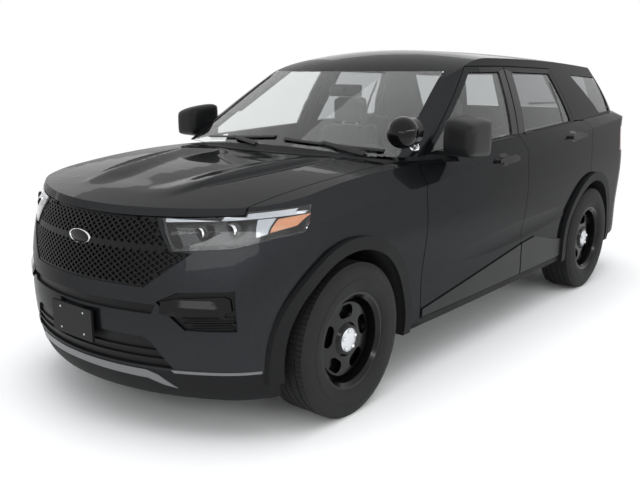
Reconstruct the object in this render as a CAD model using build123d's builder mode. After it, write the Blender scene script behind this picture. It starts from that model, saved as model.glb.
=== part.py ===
from build123d import *
import os
from math import atan2, cos, degrees, hypot, radians, sin, sqrt

os.makedirs("parts", exist_ok=True)

# A mid-size police patrol car with four side doors, a top-hinged tailgate and a bonnet.
# Millimetres. The front faces -Y, the car's own left side is +X, +Z is up.
# The origin is on the ground, under the middle of the car's length and width.

# Driving dimensions
LENGTH = 5049
HALF_WIDTH = 1002
WIDTH = 2 * HALF_WIDTH
HEIGHT = 1765
WHEELBASE = 3025
FRONT_OVERHANG = 905
REAR_OVERHANG = LENGTH - FRONT_OVERHANG - WHEELBASE
TRACK = 1699
FRONT_AXLE_Y = -LENGTH / 2 + FRONT_OVERHANG
REAR_AXLE_Y = FRONT_AXLE_Y + WHEELBASE

# Tyre and rim: a 255/60 R18 tyre on a steel rim
TYRE_RADIUS = 381.5
TYRE_WIDTH = 255
TYRE_BULGE = 6
TREAD_WIDTH = 212
RIM_RADIUS = 228.6
RIM_WIDTH = 216
RIM_WALL = 9
RIM_FLANGE_RADIUS = 241
HUB_RADIUS = 72
HUB_BORE_RADIUS = 33
HUB_FACE = 86
DISH_FACE = 66
DISH_WALL = 7
DISH_RADIUS = 182
WINDOW_COUNT = 5
WINDOW_PITCH_RADIUS = 139
WINDOW_LENGTH = 106
WINDOW_WIDTH = 64
WINDOW_TURN = 18

# Brakes, knuckles and axles
ROTOR_RADIUS = 172
ROTOR_WALL = 26
ROTOR_X = 4
KINGPIN_X = 762
KNUCKLE_WALL = 36
KNUCKLE_REACH = 150
BALL_RADIUS = 20
ARM_WIDTH = 60
ARM_WALL = 26
STRUT_RADIUS = 26
STRUT_X = 640
SHAFT_RADIUS = 15
STEER_GAP = 22
CALIPER_WIDTH = 66
CALIPER_ANGLE = 34

# Wheel-arch trims
ARCH_TRIM_STAND = 26

# Subframes, shafts and engine
RAIL_OUTER_X = 450
RAIL_WIDTH = 60
RAIL_TOP = 320
MEMBER_LENGTH = 380
GEARCASE_RADIUS = 95
SHAFT_HOLE_RADIUS = 70
ENGINE_WIDTH = 620
ENGINE_LENGTH = 520
ENGINE_HEIGHT = 420
RADIATOR_WIDTH = 860
RADIATOR_HEIGHT = 560
RADIATOR_WALL = 50

# Cabin fittings
STEERING_RADIUS = 180
STEERING_RIM = 15
STEERING_COLUMN = 190
STEERING_TILT = 24
SEAT_WIDTH = 500
BENCH_WIDTH = 1300
SEAT_FILLET = 28
SPOT_RADIUS = 80
SPOT_STALK_RADIUS = 12

# Mirrors, handles and the plate bracket
MIRROR_FILLET = 24
MIRROR_CORNER = 38
HANDLE_LENGTH = 265
HANDLE_HEIGHT = 26
HANDLE_WALL = 16
HANDLE_STAND = 34
PLATE_WIDTH = 310
PLATE_WALL = 12
PLATE_HOLE_SPACING = (178, 102)
PLATE_HOLE_RADIUS = 3.5

# Walls, skins and gaps
DOOR_SKIN = 12
DOOR_STEP = 34
FRAME_STEP = 16
GAP = 5.5
CLADDING_WALL = 9
GRILLE_DEPTH = 14
GRILLE_WALL = 16
BAR_DEPTH = 4
BONNET_WALL = 35
NOSE_WALL = 60
ROOF_WALL = 38
SEAM = 4
SEAM_DEPTH = 8
FIT = 0.4
GLASS_SET = 7
GLASS_WALL = 5
LAMP_WALL = 5
OPTICS_DEPTH = 18
PROJECTOR_RADIUS = 32
OVERRUN = 400

# Side-view arcs of the bonnet and of the roof, and their crowns across the car
BONNET_TOP_SHARE = (0.198, 0.684)
BONNET_ARC_RADIUS = 6000
BONNET_CROWN_RADIUS = 9000
ROOF_TOP_SHARE = 0.618
ROOF_JOIN_SHARE = 0.585
ROOF_REAR_ARC_RADIUS = 26000
ROOF_FRONT_ARC_RADIUS = 1464
ROOF_CROWN_RADIUS = 4000
ROOF_EDGE_RADIUS = 80

# Wheel arches
ARCH_RADIUS = 446
ARCH_TRIM_WIDTH = 62
ARCH_TRIM_RADIUS = ARCH_RADIUS + ARCH_TRIM_WIDTH
WELL_INNER_X = 500
LINER_WALL = 8

# Each row is one level section of the body. Columns: height share, tilt in degrees, nose share of the
# front overhang, nose radius share, half width share, side radius share, front corner radius share,
# tail share of the rear overhang, tail radius share, rear corner radius share.
TUB_SHARES = (
    (0.113, 0, 0.890, 0.624, 0.903, 30, 0.210, 0.924, 1.098, 0.175),
    (0.198, 0, 0.960, 0.624, 0.950, 30, 0.240, 0.985, 1.098, 0.200),
    (0.317, 0, 0.978, 0.624, 0.950, 30, 0.250, 1.000, 1.098, 0.210),
    (0.431, 1, 0.967, 0.624, 0.968, 30, 0.245, 0.978, 1.098, 0.200),
    (0.533, 2, 0.935, 0.629, 0.974, 30, 0.230, 0.933, 1.098, 0.185),
    (0.638, 3.9, 0.900, 0.639, 0.964, 30, 0.215, 0.896, 1.098, 0.165),
)
SHOULDER_SHARES = (
    TUB_SHARES[-1],
    (0.697, 2, 0.785, 0.674, 0.886, 20, 0.210, 0.878, 1.048, 0.130),
)
CABIN_SHARES = (
    (0.697, 2, -0.475, 1.023, 0.883, 14, 0.060, 0.876, 1.048, 0.115),
    (0.816, 1, -0.892, 0.973, 0.807, 14, 0.060, 0.796, 0.998, 0.110),
    (0.935, 0, -1.307, 0.923, 0.705, 14, 0.060, 0.701, 0.948, 0.100),
    (1.048, 0, -1.696, 0.873, 0.589, 14, 0.060, 0.585, 0.898, 0.090),
)
# The cabin's inner faces: the doors' and the walls' thickness is between these and the body
ROOM_SHARES = (
    (0.190, 0, -0.596, 1.497, 0.798, 30, 0.050, 0.835, 1.497, 0.060),
    (0.431, 0, -0.519, 1.497, 0.860, 30, 0.050, 0.862, 1.497, 0.070),
    (0.638, 3.9, -0.519, 1.148, 0.856, 30, 0.050, 0.831, 1.148, 0.080),
    (0.697, 2, -0.535, 0.998, 0.838, 14, 0.050, 0.822, 0.998, 0.090),
    (0.935, 0, -1.370, 0.898, 0.659, 14, 0.050, 0.647, 0.898, 0.080),
    (1.048, 0, -1.759, 0.848, 0.544, 14, 0.050, 0.531, 0.848, 0.070),
)


def along(share):
    """A place along the car, as a share of the wheelbase behind the front axle."""
    return FRONT_AXLE_Y + share * WHEELBASE


def up(share):
    return share * HEIGHT


def across(share):
    return share * HALF_WIDTH


def along_pair(shares):
    return along(shares[0]), along(shares[1])


def across_pair(shares):
    return across(shares[0]), across(shares[1])


def up_pair(shares):
    return up(shares[0]), up(shares[1])


def side_points(shares):
    return [(along(y), up(z)) for y, z in shares]


def front_points(shares):
    return [(across(x), up(z)) for x, z in shares]


def plan_points(shares):
    return [(across(x), along(y)) for x, y in shares]


def corner_circle(first, first_radius, second, second_radius, radius, end):
    """Centre of the circle that touches two larger circles from inside, and where it touches them."""
    dx, dy = second[0] - first[0], second[1] - first[1]
    gap = hypot(dx, dy)
    near, far = first_radius - radius, second_radius - radius
    run = (gap**2 + near**2 - far**2) / (2 * gap)
    rise = sqrt(near**2 - run**2)
    middle = (first[0] + dx * run / gap, first[1] + dy * run / gap)
    options = [
        (middle[0] - side * dy * rise / gap, middle[1] + side * dx * rise / gap)
        for side in (1, -1)
    ]
    centre = max(options, key=lambda point: point[0] * 2 + point[1] * end)
    touches = [
        tuple(c + (p - c) * big / (big - radius) for c, p in zip(base, centre))
        for base, big in ((first, first_radius), (second, second_radius))
    ]
    return centre, touches[0], touches[1]


def arc_middle(centre, start, end, radius):
    """The middle point of an arc about centre."""
    x, y = start[0] + end[0] - 2 * centre[0], start[1] + end[1] - 2 * centre[1]
    size = hypot(x, y)
    return (centre[0] + x * radius / size, centre[1] + y * radius / size)


def body_outline(row, inset):
    """One closed plan outline of eight tangent arcs, symmetric about x = 0."""
    nose_y = FRONT_AXLE_Y - row[2] * FRONT_OVERHANG + inset
    tail_y = REAR_AXLE_Y + row[7] * REAR_OVERHANG - inset
    half = across(row[4]) - inset
    nose_radius, tail_radius = row[3] * WIDTH - inset, row[8] * WIDTH - inset
    side_radius = row[5] * WIDTH - inset
    front_corner, rear_corner = row[6] * WIDTH - inset / 2, row[9] * WIDTH - inset / 2
    side = (half - side_radius, 0)
    nose, tail = (0, nose_y + nose_radius), (0, tail_y - tail_radius)
    c1, a1, b1 = corner_circle(nose, nose_radius, side, side_radius, front_corner, -1)
    c2, a2, b2 = corner_circle(tail, tail_radius, side, side_radius, rear_corner, 1)
    m1 = arc_middle(c1, a1, b1, front_corner)
    m2 = arc_middle(c2, a2, b2, rear_corner)
    beside = arc_middle(side, b1, b2, side_radius)

    def flip(point):
        return (-point[0], point[1])

    with BuildSketch() as made:
        with BuildLine():
            ThreePointArc(flip(a1), (0, nose_y), a1)
            ThreePointArc(a1, m1, b1)
            ThreePointArc(b1, beside, b2)
            ThreePointArc(b2, m2, a2)
            ThreePointArc(a2, (0, tail_y), flip(a2))
            ThreePointArc(flip(a2), flip(m2), flip(b2))
            ThreePointArc(flip(b2), flip(beside), flip(b1))
            ThreePointArc(flip(b1), flip(m1), flip(a1))
        make_face()
    return made.sketch


def body_loft(rows, inset=0, ruled=False):
    with BuildPart() as made:
        for row in rows:
            tilt = radians(row[1])
            level = Plane(
                origin=(0, 0, up(row[0])), x_dir=(1, 0, 0), z_dir=(0, -sin(tilt), cos(tilt))
            )
            with BuildSketch(level):
                add(body_outline(row, inset))
        loft(ruled=ruled)
    return made.part


def crowned_tool(top_y, top_z, arc_radius, crown_radius, ahead, behind):
    """The space above a crowned surface that is an arc in side view: a slab turned about a far axis.
    ahead and behind are the angles, in degrees, that it covers to the front and to the rear."""
    half, tall = HALF_WIDTH + OVERRUN, 2 * OVERRUN
    drop = crown_radius - sqrt(crown_radius**2 - half**2)
    turn = radians(ahead)
    start = Plane(
        origin=(0, top_y, top_z - arc_radius),
        x_dir=(1, 0, 0),
        z_dir=(0, -cos(turn), -sin(turn)),
    )
    with BuildPart() as made:
        with BuildSketch(start):
            with BuildLine():
                ThreePointArc((-half, arc_radius - drop), (0, arc_radius), (half, arc_radius - drop))
                Polyline(
                    (half, arc_radius - drop),
                    (half, arc_radius + tall),
                    (-half, arc_radius + tall),
                    (-half, arc_radius - drop),
                )
            make_face()
        revolve(
            axis=Axis((0, top_y, top_z - arc_radius), (-1, 0, 0)),
            revolution_arc=ahead + behind,
        )
    return made.part


def above_bonnet(lower=0):
    y, z = along(BONNET_TOP_SHARE[0]), up(BONNET_TOP_SHARE[1])
    return crowned_tool(y, z - lower, BONNET_ARC_RADIUS - lower, BONNET_CROWN_RADIUS, 18, 4)


def above_roof(lower=0):
    y, z = along(ROOF_JOIN_SHARE), HEIGHT - lower
    with BuildPart() as made:
        add(crowned_tool(y, z, ROOF_FRONT_ARC_RADIUS - lower, ROOF_CROWN_RADIUS, 30, 0))
        add(crowned_tool(y, z, ROOF_REAR_ARC_RADIUS - lower, ROOF_CROWN_RADIUS, 0, 6))
    return made.part


def side_prism(points, start, end, grow=0):
    """A side-view outline, pulled across the car from x = start to x = end."""
    with BuildPart() as made:
        with BuildSketch(Plane.YZ.offset(start)):
            with BuildLine():
                Polyline(*points, close=True)
            make_face()
            if grow:
                offset(amount=grow, kind=Kind.INTERSECTION)
        extrude(amount=end - start)
    return made.part


def front_prism(points, front, back, grow=0):
    """A front-view outline, pulled along the car from y = front to y = back."""
    with BuildPart() as made:
        with BuildSketch(Plane.XZ.offset(-back)):
            with BuildLine():
                Polyline(*points, close=True)
            make_face()
            if grow:
                offset(amount=grow, kind=Kind.INTERSECTION)
        extrude(amount=back - front)
    return made.part


def plan_prism(points, bottom, top, grow=0):
    """A plan outline, pulled up from z = bottom to z = top."""
    with BuildPart() as made:
        with BuildSketch(Plane.XY.offset(bottom)):
            with BuildLine():
                Polyline(*points, close=True)
            make_face()
            if grow:
                offset(amount=grow, kind=Kind.INTERSECTION)
        extrude(amount=top - bottom)
    return made.part


def block(x, y, z):
    """A box between the lowest and highest x, y and z."""
    with BuildPart() as made:
        with BuildSketch(Plane.XY.offset(z[0])):
            with Locations(((x[0] + x[1]) / 2, (y[0] + y[1]) / 2)):
                Rectangle(x[1] - x[0], y[1] - y[0])
        extrude(amount=z[1] - z[0])
    return made.part


def wheel_drum(axle_y, radius, inner, outer):
    """A cylinder about an axle's line, from x = inner to x = outer."""
    with BuildPart() as made:
        with BuildSketch(Plane.YZ.offset(inner)):
            with Locations((axle_y, TYRE_RADIUS)):
                Circle(radius)
        extrude(amount=outer - inner)
    return made.part


def rod(start, end, radius):
    """A round bar between two points."""
    run = Vector(*end) - Vector(*start)
    with BuildPart() as made:
        with BuildSketch(Plane(origin=start, z_dir=run)):
            Circle(radius)
        extrude(amount=run.length)
    return made.part


def placed(shares):
    """A point, from its shares across, along and up the car."""
    return across(shares[0]), along(shares[1]), up(shares[2])


def common(first, *others):
    with BuildPart() as made:
        add(first)
        for other in others:
            add(other, mode=Mode.INTERSECT)
    return made.part


def less(first, *others):
    with BuildPart() as made:
        add(first)
        for other in others:
            add(other, mode=Mode.SUBTRACT)
    return made.part


def both_sides(piece):
    with BuildPart() as made:
        add(piece)
        mirror(about=Plane.YZ)
    return made.part


def write(part, name):
    part.label = name
    export_step(part, "parts/" + name + ".step")


# Side-view outlines. Columns: share of the wheelbase behind the front axle, share of the height.
FRONT_DOOR_SHARES = (
    (0.208, 0.192), (0.208, 0.647), (0.470, 0.937),
    (0.635, 0.938), (0.605, 0.701), (0.605, 0.192),
)
REAR_DOOR_SHARES = (
    (0.607, 0.192), (0.607, 0.701), (0.639, 0.938),
    (0.886, 0.929), (0.927, 0.722), (0.978, 0.720), (0.978, 0.192),
)
FRONT_WINDOW_SHARES = ((0.262, 0.686), (0.477, 0.918), (0.606, 0.918), (0.576, 0.704))
REAR_WINDOW_SHARES = ((0.640, 0.708), (0.669, 0.918), (0.871, 0.910), (0.907, 0.724))
QUARTER_WINDOW_SHARES = (
    (1.130, 0.739), (1.011, 0.904), (1.210, 0.891), (1.216, 0.743),
)
UNDERSIDE_SHARES = (
    (-0.357, 0.117), (-0.126, 0.117), (0.145, 0.165), (0.840, 0.170),
    (1.163, 0.170), (1.428, 0.227), (1.428, -0.170), (-0.357, -0.170),
)
# Plan outline of half the bonnet. Columns: share of the half width, share of the wheelbase.
BONNET_SIDE_SHARES = ((0.741, -0.357), (0.758, -0.138), (0.796, 0.010), (0.804, 0.172))
# Long round bars that hollow a leaf-shaped groove into the bonnet and a shallow scallop into the doors
GROOVE_SHARES = ((0.364, -0.185, 0.747), (0.559, 0.149, 0.804))
GROOVE_RADIUS = 220
SCALLOP_SHARES = ((1.247, 0.122, 0.315), (1.247, 0.849, 0.364))
SCALLOP_RADIUS = 300
BONNET_STOP_SHARES = ((0.329, 0.369), (-0.237, -0.222))
BONNET_REAR_SHARE = 0.131
BONNET_LIP_SHARES = ((-0.357, 0.558), (0.238, 0.663), (0.238, 0.793), (-0.357, 0.793))
# Front-view outlines. Columns: share of the half width, share of the height.
WINDSHIELD_SHARES = ((0.790, 0.646), (0.790, 0.680), (0.647, 0.922))
HEADLAMP_SHARES = (
    (0.427, 0.584), (0.719, 0.596), (1.038, 0.615), (1.038, 0.558),
    (0.928, 0.544), (0.749, 0.513), (0.517, 0.501),
)
LIGHT_BAR_SHARES = (
    (0.430, 0.578), (0.719, 0.590), (0.958, 0.605), (0.958, 0.598),
    (0.719, 0.582), (0.437, 0.570),
)
PROJECTOR_SHARES = ((0.604, 0.543), (0.719, 0.552))
HEADLAMP_END_SHARES = ((-0.075, 0.618), (-0.112, 0.533))
GRILLE_SHARES = ((0.409, 0.578), (0.507, 0.501), (0.601, 0.499), (0.411, 0.409))
SLOT_SHARES = ((0.469, 0.369), (0.449, 0.344))
INTAKE_SHARES = ((0.399, 0.283), (0.439, 0.272), (0.529, 0.202))
FOG_SHARES = ((0.469, 0.376), (0.559, 0.403), (0.773, 0.411), (0.780, 0.309), (0.591, 0.309))
FOG_BAR_SHARES = (
    ((0.477, 0.369), (0.699, 0.378), (0.737, 0.368), (0.737, 0.343), (0.559, 0.338)),
    ((0.584, 0.327), (0.774, 0.331), (0.774, 0.326), (0.591, 0.323)),
)
INTAKE_BAR_SHARES = (
    ((0.479, 0.249), (0.479, 0.244)), ((0.499, 0.227), (0.499, 0.221)),
)
SKID_SHARES = ((0.479, 0.187), (0.559, 0.136), (0.559, 0.102))
TAILGATE_SHARES = ((0.654, 1.020), (0.654, 0.510), (0.611, 0.385))
TAIL_WINDOW_SHARES = ((0.559, 0.901), (0.599, 0.742))
TAIL_LAMP_SHARES = ((0.519, 0.674), (1.038, 0.680), (1.038, 0.567), (0.519, 0.589))
TAIL_LAMP_FRONT_SHARE = 1.200
TAILGATE_FRONT_SHARE = 1.211
TAILGATE_CLEAR_SHARE = 1.220


def mirrored(points):
    """A front or plan outline of half the car, with the other half added."""
    return list(points) + [(-x, y) for x, y in reversed(points)]


FRONT_CLADDING_SHARES = ((0.210, 0.194), (0.210, 0.218), (0.604, 0.306), (0.604, 0.194))
REAR_CLADDING_SHARES = (
    (0.609, 0.194), (0.609, 0.307), (0.674, 0.317), (0.763, 0.282), (0.899, 0.244),
    (0.899, 0.194),
)
# Static seams, as side-view or plan lines. The bumper meets the fender on the first pair.
BUMPER_SEAM_SHARES = (
    (-0.357, 0.594), (-0.148, 0.594), (-0.112, 0.541), (-0.060, 0.397),
    (-0.060, 0.034), (-0.357, 0.034),
)
VALANCE_SHARES = ((-0.357, 0.195), (-0.146, 0.195), (-0.146, 0.034), (-0.357, 0.034))
FENDER_SHARES = (
    (-0.357, 0.034), (0.206, 0.034), (0.206, 0.664), (0.175, 0.674),
    (0.106, 0.737), (-0.357, 0.737),
)
COWL_HALF_SHARE = 0.795
REAR_BUMPER_SHARES = (
    (1.155, 0.034), (1.155, 0.363), (1.230, 0.375), (1.428, 0.381), (1.428, 0.034),
)
SILL_SHARES = ((0.147, 0.034), (0.147, 0.188), (0.853, 0.188), (0.853, 0.034))
FLOOR_HALF_SHARE = 0.794
FLOOR_REAR_SHARE = 1.273
ROOF_PANEL_SHARES = ((0.639, 0.304), (0.639, 1.211))
ROOF_PANEL_BOTTOM_SHARE = 0.922


# Side outlines of what stands in the cabin
RAIL_FRONT_SHARE = -0.212
TUNNEL_SHARES = (0.882, 1.249)
TUNNEL_TOP_SHARE = 0.309
CARGO_FLOOR_SHARE = 0.317
DASH_HALF_SHARE = 0.778
DASH_SHARES = (
    (0.106, 0.652), (0.218, 0.652), (0.278, 0.623), (0.291, 0.555),
    (0.271, 0.442), (0.238, 0.363), (0.106, 0.363),
)
STEERING_PLACE_SHARE = (0.379, 0.337, 0.584)
SEAT_PLACE_SHARE = 0.379
HEADREST_SHARE = 0.5
FRONT_CUSHION_SHARES = (
    (0.370, 0.190), (0.350, 0.363), (0.377, 0.381), (0.529, 0.357),
    (0.555, 0.295), (0.542, 0.190),
)
FRONT_BACK_SHARES = ((0.516, 0.317), (0.565, 0.714), (0.598, 0.714), (0.565, 0.283))
FRONT_REST_SHARES = ((0.568, 0.697), (0.565, 0.822), (0.598, 0.822), (0.598, 0.686))
REAR_CUSHION_SHARES = (
    (0.687, 0.190), (0.671, 0.363), (0.694, 0.385), (0.833, 0.368), (0.833, 0.190),
)
REAR_BACK_SHARES = ((0.816, 0.317), (0.856, 0.703), (0.892, 0.703), (0.848, 0.317))
REAR_REST_SHARES = ((0.859, 0.680), (0.866, 0.793), (0.896, 0.793), (0.892, 0.680))
MIRROR_PLACE_SHARES = (0.254, 0.307)
MIRROR_SHARES = (
    (0.958, 0.682), (1.116, 0.682), (1.132, 0.725), (1.102, 0.777),
    (0.998, 0.790), (0.948, 0.754),
)
MIRROR_ARM_SHARES = (0.848, 0.674, 0.688)
FRONT_HANDLE_SHARE = (0.497, 0.633)
REAR_HANDLE_SHARE = (0.858, 0.672)
PLATE_SHARES = (0.246, 0.332)
SPOT_SHARE = (0.894, 0.155, 0.756)
SPOT_FOOT_SHARE = (0.848, 0.228, 0.694)
# Rubber rests for the doors on the body side. Columns: shares of the wheelbase, shares of the height.
DOOR_REST_SHARES = (
    ((0.600, 0.604), (0.431, 0.453)), ((0.973, 0.977), (0.567, 0.589)),
)
ARCH_TRIM_BOTTOM_SHARE = 0.165
DOOR_GROWTHS = (GAP, 0, -FRAME_STEP, -DOOR_STEP)
CABIN_SIDE = WELL_INNER_X


def body_skin(inset):
    """The body's outer form, drawn in by inset on every side and under the roof and the bonnet."""
    low = body_loft(TUB_SHARES, inset) + body_loft(SHOULDER_SHARES, inset)
    high = less(body_loft(CABIN_SHARES, inset), above_roof(inset))
    return less(low, above_bonnet(inset)) + high


# The body as one closed form, and the same form drawn in for skins, glass and lamps
underside = side_prism(side_points(UNDERSIDE_SHARES), -OVERRUN - HALF_WIDTH, OVERRUN + HALF_WIDTH)
scallop = both_sides(rod(placed(SCALLOP_SHARES[0]), placed(SCALLOP_SHARES[1]), SCALLOP_RADIUS))
body_form = less(body_skin(0), underside, scallop)
under_skin = body_skin(DOOR_SKIN)
under_rest = body_skin(DOOR_SKIN + FIT)
under_flange = body_skin(DOOR_SKIN + GAP)
for places, heights in DOOR_REST_SHARES:
    under_flange += common(under_rest, block((0, LENGTH), along_pair(places), up_pair(heights)))
glass_band = less(body_loft(CABIN_SHARES, GLASS_SET), body_loft(CABIN_SHARES, GLASS_SET + GLASS_WALL))

tub_form = body_loft(TUB_SHARES)
shoulder_form = body_loft(SHOULDER_SHARES)

# The cabin and the engine bay
room_form = less(body_loft(ROOM_SHARES, ruled=True), above_roof(ROOF_WALL))
FLOOR_TOP = up(ROOM_SHARES[0][0])
FIREWALL_BACK = FRONT_AXLE_Y - ROOM_SHARES[1][2] * FRONT_OVERHANG
FIREWALL_FRONT = FIREWALL_BACK - 2 * NOSE_WALL
FAR = LENGTH + OVERRUN
nose_form = less(
    body_loft(TUB_SHARES, NOSE_WALL) + body_loft(SHOULDER_SHARES, NOSE_WALL), above_bonnet(BONNET_WALL)
)
bay_form = common(nose_form, block((-FAR, FAR), (-FAR, FIREWALL_FRONT), (-FAR, FAR)))

# Wheel wells: an open drum over each wheel, inside a closed wheelhouse
well_reach = ARCH_RADIUS + LINER_WALL
tunnel_half = WELL_INNER_X - LINER_WALL
wells, wheelhouses = [], []
for axle_y in (FRONT_AXLE_Y, REAR_AXLE_Y):
    wells.append(both_sides(wheel_drum(axle_y, ARCH_RADIUS, WELL_INNER_X, FAR)))
    with BuildPart() as house:
        with BuildSketch(Plane.YZ.offset(tunnel_half)):
            with Locations((axle_y, TYRE_RADIUS)):
                RegularPolygon(well_reach, 8, major_radius=False, rotation=22.5)
        extrude(amount=FAR)
    wheelhouses.append(both_sides(house.part))
tunnel_length = (along(TUNNEL_SHARES[0]), along(TUNNEL_SHARES[1]))
tunnel = block((-tunnel_half, tunnel_half), tunnel_length, (-FAR, up(TUNNEL_TOP_SHARE)))
cargo_front = tunnel_length[0] - (up(CARGO_FLOOR_SHARE) - up(TUNNEL_TOP_SHARE))
cargo_base = block((-FAR, FAR), (cargo_front, FAR), (0, up(CARGO_FLOOR_SHARE)))
room_form = less(room_form, wheelhouses[1], cargo_base)
bay_form = less(bay_form, wheelhouses[0])
shaft_holes = [
    wheel_drum(axle_y, SHAFT_HOLE_RADIUS, -WELL_INNER_X - LINER_WALL, WELL_INNER_X + LINER_WALL)
    for axle_y in (FRONT_AXLE_Y, REAR_AXLE_Y)
]
shell = less(body_form, room_form, bay_form, tunnel, *wells, *shaft_holes)


def full_side(shares, grow=0):
    return side_prism(side_points(shares), -FAR, FAR, grow)


fender_region = full_side(FENDER_SHARES)
front_shell = common(shell, fender_region)
rear_shell = less(shell, full_side(FENDER_SHARES, FIT))


# The bonnet: its plan outline, above a sloping lip
def bonnet_region(grow):
    points = plan_points(BONNET_SIDE_SHARES)
    corner = points[-1]
    with BuildPart() as made:
        with BuildSketch():
            with BuildLine():
                Polyline(*points)
                Polyline(*[(-x, y) for x, y in points])
                ThreePointArc(corner, (0, along(BONNET_REAR_SHARE)), (-corner[0], corner[1]))
                Line(points[0], (-points[0][0], points[0][1]))
            make_face()
            if grow:
                offset(amount=grow, kind=Kind.INTERSECTION)
        extrude(amount=HEIGHT)
    return common(made.part, side_prism(side_points(BONNET_LIP_SHARES), -FAR, FAR, grow))


bonnet_stops = block(across_pair(BONNET_STOP_SHARES[0]), along_pair(BONNET_STOP_SHARES[1]), (0, FAR))
bonnet_cut = less(bonnet_region(GAP), less(both_sides(bonnet_stops), bonnet_region(FIT)))
groove = both_sides(rod(placed(GROOVE_SHARES[0]), placed(GROOVE_SHARES[1]), GROOVE_RADIUS))
bonnet = less(common(front_shell, bonnet_region(0)), groove)
front_shell = less(front_shell, bonnet_cut)
write(bonnet, "bonnet")

# Headlamps: a clear lens over an open bucket, in an outline cut through the nose wall
lamp_skin = body_loft(TUB_SHARES, LAMP_WALL) + body_loft(SHOULDER_SHARES, LAMP_WALL)
lamp_depth = NOSE_WALL - LAMP_WALL
lamp_back = body_loft(TUB_SHARES, lamp_depth) + body_loft(SHOULDER_SHARES, lamp_depth)


def headlamp_region(grow):
    end = side_points(HEADLAMP_END_SHARES)
    low = [(-FAR, 0), (end[1][0], 0)]
    ahead = side_prism(low + [end[1], end[0], (-FAR, end[0][1])], 0, FAR, grow)
    outline = front_prism(front_points(HEADLAMP_SHARES), -FAR, along(BONNET_REAR_SHARE), grow)
    return common(outline, ahead)


headlamp_wall = common(front_shell, headlamp_region(-FIT))
headlamp_lens = less(headlamp_wall, lamp_skin)
headlamp_bucket = less(
    common(headlamp_wall, lamp_skin), less(headlamp_region(-2 * LAMP_WALL), lamp_back)
)
optics_front = body_loft(TUB_SHARES, OPTICS_DEPTH) + body_loft(SHOULDER_SHARES, OPTICS_DEPTH)
optics = front_prism(front_points(LIGHT_BAR_SHARES), -FAR, along(BONNET_REAR_SHARE))
for x, z in PROJECTOR_SHARES:
    with BuildPart() as projector:
        with BuildSketch(Plane.XZ.offset(LENGTH / 2)):
            with Locations((across(x), up(z))):
                Circle(PROJECTOR_RADIUS)
        extrude(amount=-LENGTH / 4)
    optics += projector.part
headlamp_bucket += common(headlamp_wall, optics_front, optics)
front_shell = less(front_shell, both_sides(headlamp_region(0)))
write(both_sides(headlamp_lens), "headlamp_lenses")
write(both_sides(headlamp_bucket), "headlamp_buckets")

# The nose: a painted bumper skin over a dark lower valance, and the painted fenders
front_valance = common(front_shell, full_side(VALANCE_SHARES))
front_shell = less(front_shell, full_side(VALANCE_SHARES, FIT))
front_bumper = common(front_shell, full_side(BUMPER_SEAM_SHARES))
front_shell = less(front_shell, full_side(BUMPER_SEAM_SHARES, FIT))
openings = {
    "upper_grille": mirrored(front_points(GRILLE_SHARES)),
    "slot": mirrored(front_points(SLOT_SHARES)),
    "intake": mirrored(front_points(INTAKE_SHARES)),
    "fog": front_points(FOG_SHARES),
}
nose_back = FRONT_AXLE_Y - ARCH_RADIUS
grille_depth = GRILLE_DEPTH + GRILLE_WALL
grille_back = body_loft(TUB_SHARES, grille_depth) + body_loft(SHOULDER_SHARES, grille_depth)
grille_front = body_loft(TUB_SHARES, GRILLE_DEPTH) + body_loft(SHOULDER_SHARES, GRILLE_DEPTH)
bar_band = less(body_loft(TUB_SHARES, BAR_DEPTH), grille_back)
grille_band = less(grille_front, grille_back)
inserts = {}
for name, points in openings.items():
    cut = front_prism(points, -FAR, nose_back)
    insert = common(grille_band, front_prism(points, -FAR, nose_back, -FIT))
    if name == "fog":
        cut, insert = both_sides(cut), both_sides(insert)
    front_bumper = less(front_bumper, cut)
    front_valance = less(front_valance, cut)
    inserts[name] = insert
write(front_bumper, "front_bumper")
write(front_valance, "front_valance")
write(less(inserts["upper_grille"], bonnet_region(GAP)), "upper_grille")
plate_low, plate_high = up(PLATE_SHARES[0]), up(PLATE_SHARES[1])
with BuildPart() as plate_bracket:
    with BuildSketch(Plane.XZ.offset(LENGTH / 2 - PLATE_WALL)):
        with Locations((0, (plate_low + plate_high) / 2)):
            Rectangle(PLATE_WIDTH, plate_high - plate_low)
            with GridLocations(*PLATE_HOLE_SPACING, 2, 2):
                Circle(PLATE_HOLE_RADIUS, mode=Mode.SUBTRACT)
    extrude(amount=PLATE_WALL)
    with BuildSketch(Plane.XZ.offset(LENGTH / 2 - PLATE_WALL)):
        with Locations((0, (plate_low + plate_high) / 2)):
            Rectangle(PLATE_HOLE_SPACING[0] - 4 * PLATE_WALL, plate_high - plate_low)
    extrude(amount=-6 * PLATE_WALL)
fog_bars = [front_prism(front_points(points), -FAR, nose_back) for points in FOG_BAR_SHARES]
intake_bars = [
    front_prism(mirrored(front_points(points)), -FAR, nose_back) for points in INTAKE_BAR_SHARES
]
intake_cut = front_prism(openings["intake"], -FAR, nose_back, -FIT)
fog_cut = front_prism(openings["fog"], -FAR, nose_back, -FIT)
fog_bar_forms = [both_sides(common(bar_band, bar, fog_cut)) for bar in fog_bars]
intake_bar_forms = [common(bar_band, bar, intake_cut) for bar in intake_bars]
lower_grilles = inserts["slot"] + inserts["intake"] + inserts["fog"]
for form in fog_bar_forms + intake_bar_forms:
    lower_grilles += form
write(lower_grilles, "lower_grilles")
write(less(plate_bracket.part, front_bumper, grille_front, lower_grilles), "plate_bracket")
cowl_half = across(COWL_HALF_SHARE)
cowl_block = block((-cowl_half, cowl_half), (FIREWALL_FRONT - NOSE_WALL, 0), (0, FAR))
firewall = common(front_shell, cowl_block)
front_fenders = less(
    front_shell, block((-cowl_half - FIT, cowl_half + FIT), (FIREWALL_FRONT - NOSE_WALL, 0), (0, FAR))
)
write(firewall, "firewall")
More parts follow.
